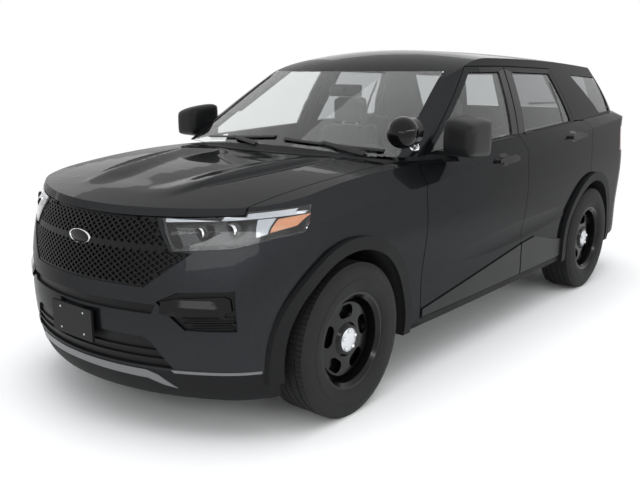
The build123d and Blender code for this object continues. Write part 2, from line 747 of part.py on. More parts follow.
write(front_fenders, "front_fenders")

# Screens and side glass: one thin band of glass just inside the cabin's outer form
glass_points = mirrored(front_points(WINDSHIELD_SHARES))
windshield = common(glass_band, front_prism(glass_points, -FAR, 0, -FIT))
write(less(windshield, full_side(FENDER_SHARES, FIT)), "windshield")
tail_front = along(TAILGATE_FRONT_SHARE)
tail_window = mirrored(front_points(TAIL_WINDOW_SHARES))
write(common(glass_band, front_prism(tail_window, tail_front, FAR, -FIT)), "tailgate_window")
quarter_points = side_points(QUARTER_WINDOW_SHARES)
quarter_window = common(glass_band, side_prism(quarter_points, CABIN_SIDE, FAR, -FIT))
write(both_sides(quarter_window), "quarter_windows")

# The roof panel and the floor pan
roof_points = mirrored(plan_points(ROOF_PANEL_SHARES))
roof_bottom = up(ROOF_PANEL_BOTTOM_SHARE)
roof_panel = common(rear_shell, plan_prism(roof_points, roof_bottom, FAR))
rear_shell = less(
    rear_shell,
    plan_prism(roof_points, roof_bottom - FIT, FAR, FIT),
    front_prism(glass_points, -FAR, 0),
    both_sides(side_prism(quarter_points, CABIN_SIDE, FAR)),
)
write(roof_panel, "roof_panel")
def floor_region(grow):
    half, rear = across(FLOOR_HALF_SHARE) + grow, along(FLOOR_REAR_SHARE) + grow
    cargo_top, cargo_half = up(CARGO_FLOOR_SHARE) + grow, tunnel_half - FIT + grow
    with BuildPart() as made:
        add(block((-half, half), (-FAR, rear), (0, FLOOR_TOP + grow)))
        add(block((-cargo_half, cargo_half), (cargo_front - grow, rear), (0, cargo_top)))
    return made.part


floor_pan = common(rear_shell, floor_region(0))
rear_shell = less(rear_shell, floor_region(FIT))
write(floor_pan, "floor_pan")

# The tailgate, hinged at the rear edge of the roof
tailgate_points = mirrored(front_points(TAILGATE_SHARES))
tailgate = common(rear_shell, front_prism(tailgate_points, tail_front, FAR))
rear_shell = less(rear_shell, front_prism(tailgate_points, tail_front - GAP, FAR, GAP))
tailgate = less(tailgate, front_prism(tail_window, tail_front, FAR))

# Tail lamps: thin red shells let into the rear corners and the tailgate
tail_lamp_points = front_points(TAIL_LAMP_SHARES)
lamp_front = along(TAIL_LAMP_FRONT_SHARE)
tail_lamp_region = less(front_prism(tail_lamp_points, lamp_front, FAR), under_skin)
tail_lamp_fit = less(front_prism(tail_lamp_points, lamp_front + FIT, FAR, -FIT), under_skin)
tail_lamp = common(rear_shell, tail_lamp_fit)
gate_lamp = common(tailgate, tail_lamp_fit)
rear_shell = less(rear_shell, both_sides(tail_lamp_region))
tailgate = less(tailgate, both_sides(tail_lamp_region))
write(both_sides(tail_lamp), "tail_lamps")
write(both_sides(gate_lamp), "tailgate_lamps")
write(tailgate, "tailgate")

# The rear bumper and the sills
rear_bumper = common(rear_shell, full_side(REAR_BUMPER_SHARES))
sills = common(rear_shell, full_side(SILL_SHARES))
rear_shell = less(rear_shell, full_side(REAR_BUMPER_SHARES, FIT), full_side(SILL_SHARES, FIT))
write(rear_bumper, "rear_bumper")
write(sills, "sills")

# The doors: an outer skin over a flange of the body side, and a thick inner part in the opening
side_frame = common(rear_shell, block((0, FAR), (-FAR, FAR), (0, FAR)))
arch_drum = {
    grow: wheel_drum(REAR_AXLE_Y, ARCH_TRIM_RADIUS + GAP - grow, 0, FAR) for grow in DOOR_GROWTHS
}
cladding_form = body_loft(TUB_SHARES, -CLADDING_WALL)


def door_handle(place):
    """A grip bar on two feet, set on the door's shoulder crease."""
    outer = across(TUB_SHARES[-1][4]) + HANDLE_STAND
    y, z = along(place[0]), up(place[1])
    with BuildPart() as made:
        with BuildSketch(Plane.YZ.offset(outer - HANDLE_WALL)):
            with Locations((y, z)):
                SlotOverall(HANDLE_LENGTH, HANDLE_HEIGHT)
        extrude(amount=HANDLE_WALL)
        with BuildSketch(Plane.YZ.offset(outer - 2 * HANDLE_STAND)):
            with Locations((y, z)):
                with GridLocations(HANDLE_LENGTH - 2 * HANDLE_HEIGHT, 0, 2, 1):
                    SlotOverall(2 * HANDLE_HEIGHT, HANDLE_HEIGHT)
        extrude(amount=2 * HANDLE_STAND)
    return made.part


def door_mirror():
    """A rounded housing on a short arm from the front corner of the window."""
    front, back = along(MIRROR_PLACE_SHARES[0]), along(MIRROR_PLACE_SHARES[1])
    inner, low, high = across(MIRROR_ARM_SHARES[0]), up(MIRROR_ARM_SHARES[1]), up(MIRROR_ARM_SHARES[2])
    with BuildPart() as made:
        with BuildSketch(Plane.XZ.offset(-back)):
            with BuildLine():
                Polyline(*front_points(MIRROR_SHARES), close=True)
            make_face()
            fillet(vertices(), MIRROR_CORNER)
        extrude(amount=back - front, taper=8)
        fillet(made.faces().sort_by(Axis.Y)[0].edges(), MIRROR_FILLET)
        arm_end = across(MIRROR_SHARES[1][0]) - MIRROR_FILLET
        add(block((inner, arm_end), (front / 2 + back / 2, back), (low, high)))
    return made.part


for name, outline, pane, cladding, handle in (
    ("front", FRONT_DOOR_SHARES, FRONT_WINDOW_SHARES, FRONT_CLADDING_SHARES, FRONT_HANDLE_SHARE),
    ("rear", REAR_DOOR_SHARES, REAR_WINDOW_SHARES, REAR_CLADDING_SHARES, REAR_HANDLE_SHARE),
):
    region = {
        grow: side_prism(side_points(outline), CABIN_SIDE, FAR, grow) for grow in DOOR_GROWTHS
    }
    if name == "rear":
        region = {grow: less(made, arch_drum[grow]) for grow, made in region.items()}
    wall = common(side_frame, region[0])
    opening = side_prism(side_points(pane), CABIN_SIDE, FAR)
    door = less(less(wall, under_skin) + common(wall, region[-DOOR_STEP]), opening)
    glass = common(glass_band, side_prism(side_points(pane), CABIN_SIDE, FAR, -FIT))
    side_frame = less(side_frame, less(region[GAP], under_flange), region[-FRAME_STEP])
    pad = less(common(cladding_form, side_prism(side_points(cladding), CABIN_SIDE, FAR)), tub_form)
    if name == "rear":
        trim = [less(pad, arch_drum[0]), less(door_handle(handle), tub_form, shoulder_form)]
    else:
        trim = [pad, less(door_handle(handle), tub_form, shoulder_form), less(door_mirror(), door, glass)]
    for side, flip in (("left", False), ("right", True)):
        for piece, made in (("door", door), ("window", glass), ("trim", Compound(children=trim))):
            if flip:
                made = mirror(made, about=Plane.YZ)
            write(made, f"{name}_{side}_{piece}")
write(side_frame, "side_frame_left")
write(mirror(side_frame, about=Plane.YZ), "side_frame_right")

# Wheel-arch trims: a dark band that stands proud of the body round each well
trim_form = body_loft(TUB_SHARES, -ARCH_TRIM_STAND)
arch_trims = []
for axle_y in (FRONT_AXLE_Y, REAR_AXLE_Y):
    ring = less(
        wheel_drum(axle_y, ARCH_TRIM_RADIUS, WELL_INNER_X, FAR), wheel_drum(axle_y, ARCH_RADIUS, 0, FAR)
    )
    low = block((0, FAR), (-FAR, FAR), (-FAR, up(ARCH_TRIM_BOTTOM_SHARE)))
    arch_trims.append(less(common(trim_form, ring), low, tub_form))
write(both_sides(arch_trims[0] + arch_trims[1]), "arch_trims")


# Wheels: a plain tyre ring on a pressed steel rim with five windows
def ring_of(points, axle_y, centre_x):
    """A profile turned about an axle. Points are (place outwards from the wheel's middle, radius)."""
    with BuildPart() as made:
        with BuildSketch(Plane.XZ.offset(-axle_y)):
            with BuildLine():
                Polyline(*[(centre_x + x, TYRE_RADIUS + r) for x, r in points], close=True)
            make_face()
        revolve(axis=Axis((0, axle_y, TYRE_RADIUS), (1, 0, 0)))
    return made.part


half_tyre, half_tread = TYRE_WIDTH / 2, TREAD_WIDTH / 2
half_rim = RIM_WIDTH / 2
bulge_radius = (RIM_RADIUS + TYRE_RADIUS) / 2
tyre_points = [
    (half_rim - RIM_WALL, RIM_RADIUS + FIT), (half_rim - FIT, RIM_FLANGE_RADIUS + FIT),
    (half_tyre, bulge_radius), (half_tyre - TYRE_BULGE, TYRE_RADIUS - 5 * TYRE_BULGE),
    (half_tread, TYRE_RADIUS - TYRE_BULGE), (half_tread - 5 * TYRE_BULGE, TYRE_RADIUS),
]
tyre_points += [(-x, r) for x, r in reversed(tyre_points)]
dish_points = [
    (HUB_FACE, 0), (HUB_FACE, HUB_BORE_RADIUS), (HUB_FACE - DISH_WALL, HUB_RADIUS),
    (DISH_FACE, HUB_RADIUS + 2 * DISH_WALL), (DISH_FACE - DISH_WALL, DISH_RADIUS),
    (DISH_FACE - 4 * DISH_WALL, RIM_RADIUS - 2 * RIM_WALL),
    (DISH_FACE - 5 * DISH_WALL, RIM_RADIUS - 2 * RIM_WALL), (DISH_FACE - 2 * DISH_WALL, DISH_RADIUS),
    (DISH_FACE - DISH_WALL, HUB_RADIUS), (DISH_FACE - DISH_WALL, 0),
]
barrel_points = [
    (half_rim, RIM_FLANGE_RADIUS), (half_rim - RIM_WALL, RIM_RADIUS),
    (RIM_WALL - half_rim, RIM_RADIUS), (-half_rim, RIM_FLANGE_RADIUS),
    (-half_rim, RIM_RADIUS), (2 * RIM_WALL - half_rim, RIM_RADIUS - 2 * RIM_WALL),
    (half_rim - 2 * RIM_WALL, RIM_RADIUS - 2 * RIM_WALL), (half_rim, RIM_RADIUS),
]
for axle, axle_y in (("front", FRONT_AXLE_Y), ("rear", REAR_AXLE_Y)):
    middle = TRACK / 2
    tyre = ring_of(tyre_points, axle_y, middle)
    with BuildPart() as rim:
        add(ring_of(dish_points, axle_y, middle))
        add(ring_of(barrel_points, axle_y, middle))
        with BuildSketch(Plane.YZ.offset(middle)):
            with Locations((axle_y, TYRE_RADIUS)):
                with PolarLocations(WINDOW_PITCH_RADIUS, WINDOW_COUNT, start_angle=WINDOW_TURN):
                    SlotOverall(WINDOW_LENGTH, WINDOW_WIDTH, rotation=90)
        extrude(amount=HALF_WIDTH, mode=Mode.SUBTRACT)
    rotor = ring_of(
        [(ROTOR_X, 0), (ROTOR_X, ROTOR_RADIUS), (ROTOR_X + ROTOR_WALL, ROTOR_RADIUS),
         (ROTOR_X + ROTOR_WALL, HUB_RADIUS), (DISH_FACE - DISH_WALL, HUB_RADIUS),
         (DISH_FACE - DISH_WALL, 0)],
        axle_y, middle,
    )
    wheel = rim.part + rotor
    for side, flip in (("left", False), ("right", True)):
        for piece, made in (("tyre", tyre), ("rim", wheel)):
            if flip:
                made = mirror(made, about=Plane.YZ)
            write(made, f"{axle}_{side}_{piece}")


# Hub carriers: an upright between two ball joints, a stub behind the rotor and a caliper over its edge
def hub_carrier(axle_y):
    middle = TRACK / 2
    rotor_back = middle + ROTOR_X - GAP
    with BuildPart() as made:
        with BuildSketch(Plane.YZ.offset(KINGPIN_X - KNUCKLE_WALL / 2)):
            with Locations((axle_y, TYRE_RADIUS)):
                Circle(HUB_RADIUS)
                Rectangle(2 * BALL_RADIUS, 2 * KNUCKLE_REACH)
        extrude(amount=KNUCKLE_WALL)
        with BuildSketch(Plane.YZ.offset(KINGPIN_X)):
            with Locations((axle_y, TYRE_RADIUS)):
                Circle(HUB_RADIUS - BALL_RADIUS)
        extrude(amount=rotor_back - KINGPIN_X)
        with BuildSketch(Plane.YZ.offset(KINGPIN_X)):
            with Locations((axle_y, TYRE_RADIUS)):
                Circle(HUB_BORE_RADIUS)
        extrude(amount=rotor_back + GAP - FIT - KINGPIN_X)
        caliper_plane = Plane(
            origin=(KINGPIN_X, axle_y, TYRE_RADIUS),
            x_dir=(0, cos(radians(CALIPER_ANGLE)), sin(radians(CALIPER_ANGLE))),
            z_dir=(1, 0, 0),
        )
        with BuildSketch(caliper_plane):
            with Locations((ROTOR_RADIUS / 2 + GAP, 0)):
                Rectangle(ROTOR_RADIUS + 2 * BALL_RADIUS, CALIPER_WIDTH)
        extrude(amount=KNUCKLE_WALL / 2)
        with BuildSketch(caliper_plane):
            with Locations((ROTOR_RADIUS + GAP + BALL_RADIUS / 2, 0)):
                Rectangle(BALL_RADIUS, CALIPER_WIDTH)
        extrude(amount=rotor_back + ROTOR_WALL + GAP - KINGPIN_X)
    return made.part


front_knuckle = hub_carrier(FRONT_AXLE_Y)
write(front_knuckle, "front_left_knuckle")
write(mirror(front_knuckle, about=Plane.YZ), "front_right_knuckle")


# Subframes: two rails, a cross member, a wishbone and a strut to each carrier
def subframe(axle_y, front, back, shaft_gap):
    low = TYRE_RADIUS - KNUCKLE_REACH
    strut_top = TYRE_RADIUS + sqrt(ARCH_RADIUS**2 - (2 * STRUT_RADIUS) ** 2) - FIT
    rail = RAIL_OUTER_X - RAIL_WIDTH
    with BuildPart() as made:
        with BuildSketch(Plane.XY.offset(low - ARM_WALL - FIT)):
            with BuildLine():
                Polyline(
                    (KINGPIN_X, axle_y - BALL_RADIUS), (KINGPIN_X, axle_y + BALL_RADIUS),
                    (rail, axle_y + MEMBER_LENGTH / 2), (rail, axle_y - MEMBER_LENGTH / 2), close=True,
                )
            make_face()
        extrude(amount=ARM_WALL)
        with BuildSketch(Plane.XY.offset(low - ARM_WALL / 2)):
            with Locations((STRUT_X, axle_y)):
                Circle(STRUT_RADIUS)
        extrude(amount=strut_top - low)
        with BuildSketch(Plane.XY.offset(TYRE_RADIUS + KNUCKLE_REACH / 2)):
            with Locations((STRUT_X, axle_y)):
                Circle(STRUT_RADIUS * 2)
        extrude(amount=strut_top - TYRE_RADIUS - KNUCKLE_REACH / 2)
        with BuildSketch(Plane.XY.offset(low - ARM_WALL - FIT)):
            with Locations((rail + RAIL_WIDTH / 2, (front + back) / 2)):
                Rectangle(RAIL_WIDTH, back - front)
        extrude(amount=RAIL_TOP - low + ARM_WALL)
        mirror(about=Plane.YZ)
        with BuildSketch(Plane.XY.offset(low - ARM_WALL - FIT)):
            with Locations((0, axle_y)):
                Rectangle(2 * RAIL_OUTER_X - RAIL_WIDTH, MEMBER_LENGTH)
                Rectangle(RAIL_OUTER_X, MEMBER_LENGTH / 3, mode=Mode.SUBTRACT)
        extrude(amount=ARM_WALL * 2)
        shaft_start = RAIL_OUTER_X - RAIL_WIDTH - ARM_WIDTH
        shaft_end = KINGPIN_X - KNUCKLE_WALL / 2 - shaft_gap
        add(wheel_drum(axle_y, SHAFT_RADIUS, shaft_start, shaft_end))
        add(wheel_drum(axle_y, SHAFT_RADIUS, -shaft_end, -shaft_start))
        with BuildSketch(Plane.YZ.offset(-shaft_start - ARM_WIDTH / 2)):
            with Locations((axle_y, TYRE_RADIUS)):
                Circle(GEARCASE_RADIUS)
        extrude(amount=2 * shaft_start + ARM_WIDTH)
    return made.part


front_subframe = subframe(FRONT_AXLE_Y, along(RAIL_FRONT_SHARE), FIREWALL_FRONT - FIT, STEER_GAP)
write(front_subframe, "front_subframe")
rear_carriers = both_sides(hub_carrier(REAR_AXLE_Y))
tunnel_front, tunnel_back = along(TUNNEL_SHARES[0]), along(TUNNEL_SHARES[1])
rear_subframe = subframe(REAR_AXLE_Y, tunnel_front + FIT, tunnel_back - GEARCASE_RADIUS, FIT)
write(rear_subframe, "rear_subframe")
write(rear_carriers, "rear_carriers")
engine_base = TYRE_RADIUS + GEARCASE_RADIUS + FIT
engine = block(
    (-ENGINE_WIDTH / 2, ENGINE_WIDTH / 2),
    (FRONT_AXLE_Y - ENGINE_LENGTH / 2, FRONT_AXLE_Y + ENGINE_LENGTH / 2),
    (engine_base, engine_base + ENGINE_HEIGHT),
)
write(engine, "engine")
radiator_front = along(RAIL_FRONT_SHARE)
radiator = block(
    (-RADIATOR_WIDTH / 2, RADIATOR_WIDTH / 2),
    (radiator_front, radiator_front + RADIATOR_WALL),
    (RAIL_TOP + FIT, RAIL_TOP + RADIATOR_HEIGHT),
)
write(radiator, "radiator")


# The cabin's fittings
dash_form = common(
    body_loft(ROOM_SHARES, FIT, ruled=True),
    side_prism(side_points(DASH_SHARES), -across(DASH_HALF_SHARE), across(DASH_HALF_SHARE)),
)
wheel_centre = placed(STEERING_PLACE_SHARE)
column_tilt = radians(STEERING_TILT)
wheel_plane = Plane(
    origin=wheel_centre, x_dir=(1, 0, 0), z_dir=(0, cos(column_tilt), sin(column_tilt))
)
with BuildPart() as steering_wheel:
    with BuildSketch(Plane(origin=wheel_centre, x_dir=wheel_plane.z_dir, z_dir=(1, 0, 0))):
        with Locations((0, STEERING_RADIUS)):
            Circle(STEERING_RIM)
    revolve(axis=Axis(wheel_centre, wheel_plane.z_dir))
    with BuildSketch(wheel_plane):
        Rectangle(2 * STEERING_RADIUS, 3 * STEERING_RIM)
        Circle(4 * STEERING_RIM)
    extrude(amount=STEERING_RIM)
    with BuildSketch(wheel_plane):
        Circle(2 * STEERING_RIM)
    extrude(amount=-STEERING_COLUMN)
write(dash_form + steering_wheel.part, "dashboard")


def seat(x, width, cushion, back, rest):
    """A seat: the side outlines of its cushion, its back and its head rest, pulled across its width."""
    with BuildPart() as made:
        for points, share in ((cushion, 1), (back, 1), (rest, HEADREST_SHARE)):
            with BuildSketch(Plane.YZ.offset(x - width * share / 2)):
                with BuildLine():
                    Polyline(*side_points(points), close=True)
                make_face()
                fillet(vertices(), SEAT_FILLET)
            extrude(amount=width * share)
    return made.part


front_seat = seat(
    across(SEAT_PLACE_SHARE), SEAT_WIDTH, FRONT_CUSHION_SHARES, FRONT_BACK_SHARES, FRONT_REST_SHARES
)
write(both_sides(front_seat), "front_seats")
write(seat(0, BENCH_WIDTH, REAR_CUSHION_SHARES, REAR_BACK_SHARES, REAR_REST_SHARES), "rear_seat")

# The spotlight on the driver's screen pillar
ball, foot = placed(SPOT_SHARE), placed(SPOT_FOOT_SHARE)
with BuildPart() as spotlight:
    with Locations(ball):
        Sphere(SPOT_RADIUS)
    with BuildSketch(Plane(origin=ball, z_dir=(0, 1, 0))):
        Circle(SPOT_RADIUS * 0.9)
    extrude(amount=SPOT_RADIUS)
    add(rod(ball, foot, SPOT_STALK_RADIUS))
write(less(spotlight.part, body_form), "spotlight")
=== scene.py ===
# %% [markdown]
# # A police patrol car in a plain studio
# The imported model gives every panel, window, wheel and seat its place and its motion. This script gives them
# their finishes and adds what is too fine for the model: tread, mesh, lamp optics, rubber trim and cushions.
# Lengths are metres. The front of the car faces -Y, its own left side is +X, and Z is up.

# %% Load the frame
from math import cos, pi, radians, sin

import bmesh
import bpy
from mathutils import Matrix, Vector
from mathutils.bvhtree import BVHTree


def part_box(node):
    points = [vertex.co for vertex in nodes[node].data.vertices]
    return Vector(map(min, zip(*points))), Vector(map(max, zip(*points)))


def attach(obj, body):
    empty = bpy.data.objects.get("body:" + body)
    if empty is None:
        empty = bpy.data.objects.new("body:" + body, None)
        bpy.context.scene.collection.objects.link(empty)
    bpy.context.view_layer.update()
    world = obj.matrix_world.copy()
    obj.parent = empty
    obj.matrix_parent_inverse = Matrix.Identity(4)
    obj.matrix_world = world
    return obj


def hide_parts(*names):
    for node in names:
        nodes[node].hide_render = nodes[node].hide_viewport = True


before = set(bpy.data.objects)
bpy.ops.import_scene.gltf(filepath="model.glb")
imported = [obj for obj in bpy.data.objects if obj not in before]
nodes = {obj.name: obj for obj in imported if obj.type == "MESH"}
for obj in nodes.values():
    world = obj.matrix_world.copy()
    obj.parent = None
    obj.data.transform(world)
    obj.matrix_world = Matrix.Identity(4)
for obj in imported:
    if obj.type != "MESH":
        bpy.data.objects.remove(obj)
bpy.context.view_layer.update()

# %% [markdown]
# Much of the trim lies on curved sheet metal. A small helper turns some of the nodes into a search tree, and
# a ray from each vertex of a flat piece then finds the place where it touches the panel.

# %% Trees of the panels that carry trim
FRONTWARD, REARWARD, INWARD = Vector((0, -1, 0)), Vector((0, 1, 0)), Vector((-1, 0, 0))
OUTSIDE, AHEAD = 3, -4  # rays start this far away, so that each one starts outside the car


def tree_of(*names):
    bm = bmesh.new()
    for name in names:
        bm.from_mesh(nodes[name].data)
    tree = BVHTree.FromBMesh(bm)
    bm.free()
    return tree


def press(bm, tree, direction, lift):
    """Moves each vertex along direction until it stands `lift` above the panel."""
    lost = []
    for vert in bm.verts:
        hit, _, _, _ = tree.ray_cast(vert.co - direction * OUTSIDE, direction)
        if hit is None:
            lost.append(vert)
        else:
            vert.co = hit - direction * lift
    bmesh.ops.delete(bm, geom=lost, context="VERTS")


def nose_point(tree, x, z):
    """The place that a look from straight ahead meets at x and z."""
    return tree.ray_cast(Vector((x, AHEAD, z)), REARWARD)[0]


# %% [markdown]
# Every new piece ends the same way: a mesh whose faces point outwards, smooth shading that breaks at real
# edges, one finish and one body to ride on. Paired pieces are made for the left side, and the right side gets
# their mirror image.

# %% Finish a piece
SIDES, AXLES = ("left", "right"), ("front", "rear")
MERGE_DISTANCE = 1e-6


def make_piece(name, bm, finish, body="root", angle=35):
    bmesh.ops.remove_doubles(bm, verts=bm.verts, dist=MERGE_DISTANCE)
    bmesh.ops.recalc_face_normals(bm, faces=bm.faces)
    mesh = bpy.data.meshes.new(name)
    bm.to_mesh(mesh)
    bm.free()
    mesh.shade_smooth()
    mesh.set_sharp_from_angle(angle=radians(angle))
    mesh.materials.append(finish)
    piece = bpy.data.objects.new(name, mesh)
    bpy.context.scene.collection.objects.link(piece)
    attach(piece, body)
    return piece


def on_side(bm, side):
    """The mesh itself for the left side, and its mirror image for the right side."""
    if side == "left":
        return bm
    other = bm.copy()
    bmesh.ops.scale(other, vec=(-1, 1, 1), verts=other.verts)
    bmesh.ops.reverse_faces(other, faces=other.faces)
    return other


def merged(*meshes):
    """Several bmeshes as one."""
    whole = bmesh.new()
    for bm in meshes:
        part = bpy.data.meshes.new("part")
        bm.to_mesh(part)
        whole.from_mesh(part)
        bpy.data.meshes.remove(part)
        bm.free()
    return whole


# %% [markdown]
# A flat patch starts as one polygon. Cuts every few centimetres let it bend, the press lays it on its
# panel, and an extrusion gives it a thickness. Small domes and bevelled blocks serve in several places too.

# %% Patches, domes and blocks
TRIM_LIFT = 0.0002  # keeps a patch's underside clear of its panel


def all_geometry(bm):
    return bm.verts[:] + bm.edges[:] + bm.faces[:]


def extrude(bm, offset):
    thick = bmesh.ops.extrude_face_region(bm, geom=bm.faces[:])
    moved = [g for g in thick["geom"] if isinstance(g, bmesh.types.BMVert)]
    bmesh.ops.translate(bm, vec=offset, verts=moved)


def patch(points, tree, direction, lift, thickness, step=0.03):
    """points are seen along direction: (x, z) from the front or rear, (y, z) from the side."""
    bm = bmesh.new()
    axes = [axis for axis in range(3) if not direction[axis]]
    corners = []
    for pair in points:
        corner = Vector()
        corner[axes[0]], corner[axes[1]] = pair
        corners.append(bm.verts.new(corner))
    bm.faces.new(corners)
    for axis in axes:
        low, high = min(c.co[axis] for c in bm.verts), max(c.co[axis] for c in bm.verts)
        count = int((high - low) / step)
        for index in range(1, count + 1):
            place, normal = Vector(), Vector()
            place[axis], normal[axis] = low + (high - low) * index / (count + 1), 1
            bmesh.ops.bisect_plane(bm, geom=all_geometry(bm), plane_co=place, plane_no=normal)
    bmesh.ops.triangulate(bm, faces=[f for f in bm.faces if len(f.verts) > 4])
    press(bm, tree, direction, lift)
    extrude(bm, -direction * thickness)
    return bm


def dome(radius, squash, place, segments=16):
    """A squashed ball."""
    bm = bmesh.new()
    bmesh.ops.create_uvsphere(bm, u_segments=segments, v_segments=segments // 2, radius=radius)
    bmesh.ops.scale(bm, verts=bm.verts, vec=squash)
    bmesh.ops.translate(bm, verts=bm.verts, vec=place)
    return bm


def rounded_block(low, high, radius):
    """A bevelled box between two corners."""
    bm = bmesh.new()
    low, high = Vector(low), Vector(high)
    bmesh.ops.create_cube(bm, size=1)
    bmesh.ops.scale(bm, vec=high - low, verts=bm.verts)
    bmesh.ops.translate(bm, vec=(high + low) / 2, verts=bm.verts)
    bmesh.ops.bevel(bm, geom=bm.edges[:], offset=radius, segments=3, profile=0.5, affect="EDGES", material=-1)
    return bm


# %% [markdown]
# ## Finishes
# Moulded plastic, rubber and cast metal share one fine grain. It is a shader group with three inputs, so that
# each material can set its own size and strength.

# %% Grain shared by several finishes
def new_group(name, inputs, outputs):
    group = bpy.data.node_groups.new(name, "ShaderNodeTree")
    for label, value in inputs:
        socket = group.interface.new_socket(label, in_out="INPUT", socket_type="NodeSocketFloat")
        socket.default_value = value
    for label in outputs:
        group.interface.new_socket(label, in_out="OUTPUT", socket_type="NodeSocketFloat")
    return group, group.nodes.new("NodeGroupInput"), group.nodes.new("NodeGroupOutput")


def calc(tree, operation, *values):
    """A Math node whose inputs are sockets or plain numbers."""
    node = tree.nodes.new("ShaderNodeMath")
    node.operation = operation
    for socket, value in zip(node.inputs, values):
        if isinstance(value, (int, float)):
            socket.default_value = value
        else:
            tree.links.new(value, socket)
    return node.outputs[0]


grain, grain_in, grain_out = new_group(
    "Fine grain", [("Scale", 900), ("Roughness", 0.6), ("Spread", 0.1)], ["Height", "Roughness"]
)
NOISE_MIDDLE, BROAD_SCALE = 0.5, 6
place = grain.nodes.new("ShaderNodeTexCoord")
fine = grain.nodes.new("ShaderNodeTexNoise")
broad = grain.nodes.new("ShaderNodeTexNoise")
broad.inputs["Scale"].default_value = BROAD_SCALE
grain.links.new(place.outputs["Object"], fine.inputs["Vector"])
grain.links.new(place.outputs["Object"], broad.inputs["Vector"])
grain.links.new(grain_in.outputs["Scale"], fine.inputs["Scale"])
wander = calc(grain, "SUBTRACT", broad.outputs["Fac"], NOISE_MIDDLE)
uneven = calc(grain, "MULTIPLY_ADD", wander, grain_in.outputs["Spread"], grain_in.outputs["Roughness"])
grain.links.new(fine.outputs["Fac"], grain_out.inputs["Height"])
grain.links.new(uneven, grain_out.inputs["Roughness"])


# %% [markdown]
# One helper makes a material with a Principled shader, one more adds the grain to it, and a third paints on it
# the light and shade of the fine upright flutes that are moulded into lamp reflectors: stripes of a darker and
# a lighter tone.

# %% Make a material
FLUTE_SCALE = 60


def new_finish(name, colour, roughness, **sockets):
    made = bpy.data.materials.new(name)
    made.use_nodes = True
    shader = made.node_tree.nodes["Principled BSDF"]
    shader.inputs["Base Color"].default_value = (*colour, 1)
    shader.inputs["Roughness"].default_value = roughness
    for label, value in sockets.items():
        shader.inputs[label.replace("_", " ")].default_value = value
    return made, shader


def grained(name, colour, scale, roughness, spread=0.12, depth=0.0002, strength=0.35, **sockets):
    made, shader = new_finish(name, colour, roughness, **sockets)
    tree = made.node_tree
    shared = tree.nodes.new("ShaderNodeGroup")
    shared.node_tree = grain
    shared.inputs["Scale"].default_value = scale
    shared.inputs["Roughness"].default_value = roughness
    shared.inputs["Spread"].default_value = spread
    bump = tree.nodes.new("ShaderNodeBump")
    bump.inputs["Distance"].default_value = depth
    bump.inputs["Strength"].default_value = strength
    tree.links.new(shared.outputs["Height"], bump.inputs["Height"])
    tree.links.new(shared.outputs["Roughness"], shader.inputs["Roughness"])
    tree.links.new(bump.outputs["Normal"], shader.inputs["Normal"])
    return made


def flute_shade_finish(name, dark, light, roughness, **sockets):
    made, shader = new_finish(name, dark, roughness, **sockets)
    tree = made.node_tree
    place = tree.nodes.new("ShaderNodeTexCoord")
    flute_shade = tree.nodes.new("ShaderNodeTexWave")
    flute_shade.inputs["Scale"].default_value = FLUTE_SCALE
    # Painted shade and highlight: the stripes swap between a darker and a lighter tone of the one colour.
    shade_tones = tree.nodes.new("ShaderNodeValToRGB")
    shade_tones.color_ramp.elements[0].color, shade_tones.color_ramp.elements[1].color = (*dark, 1), (*light, 1)
    tree.links.new(place.outputs["Object"], flute_shade.inputs["Vector"])
    tree.links.new(flute_shade.outputs["Fac"], shade_tones.inputs["Fac"])
    tree.links.new(shade_tones.outputs["Color"], shader.inputs["Base Color"])
    return made


# %% [markdown]
# Sheet metal is painted outside only. Cabin sides, wheel wells and the underside are dark trim and undercoat.
# A mask finds them from the place and the direction of the surface: a wall that faces the middle of the car
# is an inner wall, whatever lies within a wheel's drum is a well, and what is low down is the underside. Both
# are taken in the panel's own space, so that an opened door keeps its mask.

# %% Mask of the unpainted sides
AXLE_Y = {"front": -1.6195, "rear": 1.4055}
WHEEL_MIDDLE = Vector((0.8495, 0, 0.3815))
CAR_MIDDLE, UNDERSIDE_TOP, WELL_RADIUS = (0, 0, 0.8), 0.315, 0.447
hidden, _, hidden_out = new_group("Unpainted sides", [], ["Mask"])
place = hidden.nodes.new("ShaderNodeTexCoord")
facing = hidden.nodes.new("ShaderNodeNewGeometry")
own_facing = hidden.nodes.new("ShaderNodeVectorTransform")
own_facing.vector_type, own_facing.convert_from, own_facing.convert_to = "NORMAL", "WORLD", "OBJECT"
from_middle = hidden.nodes.new("ShaderNodeVectorMath")
from_middle.operation = "SUBTRACT"
from_middle.inputs[1].default_value = CAR_MIDDLE
outwards = hidden.nodes.new("ShaderNodeVectorMath")
outwards.operation = "DOT_PRODUCT"
split = hidden.nodes.new("ShaderNodeSeparateXYZ")
hidden.links.new(facing.outputs["Normal"], own_facing.inputs[0])
hidden.links.new(place.outputs["Object"], from_middle.inputs[0])
hidden.links.new(from_middle.outputs["Vector"], outwards.inputs[0])
hidden.links.new(own_facing.outputs[0], outwards.inputs[1])
hidden.links.new(place.outputs["Object"], split.inputs[0])
mask = calc(hidden, "LESS_THAN", outwards.outputs["Value"], 0)
mask = calc(hidden, "MAXIMUM", mask, calc(hidden, "LESS_THAN", split.outputs["Z"], UNDERSIDE_TOP))
above = calc(hidden, "SUBTRACT", split.outputs["Z"], WHEEL_MIDDLE.z)
for axle_y in AXLE_Y.values():
    behind = calc(hidden, "SUBTRACT", split.outputs["Y"], axle_y)
    reach = calc(hidden, "MULTIPLY_ADD", behind, behind, calc(hidden, "MULTIPLY", above, above))
    mask = calc(hidden, "MAXIMUM", mask, calc(hidden, "LESS_THAN", reach, WELL_RADIUS**2))
hidden.links.new(mask, hidden_out.inputs["Mask"])

# %% [markdown]
# The paint is a dark grey with fine metal flakes under clear lacquer. The flakes are tiny cells of slightly
# different brightness, and the lacquer is the shader's coat. The surroundings are white here, so the coat is
# thin and the base hardly brightens at low angles. The mask turns it all into dull black trim.

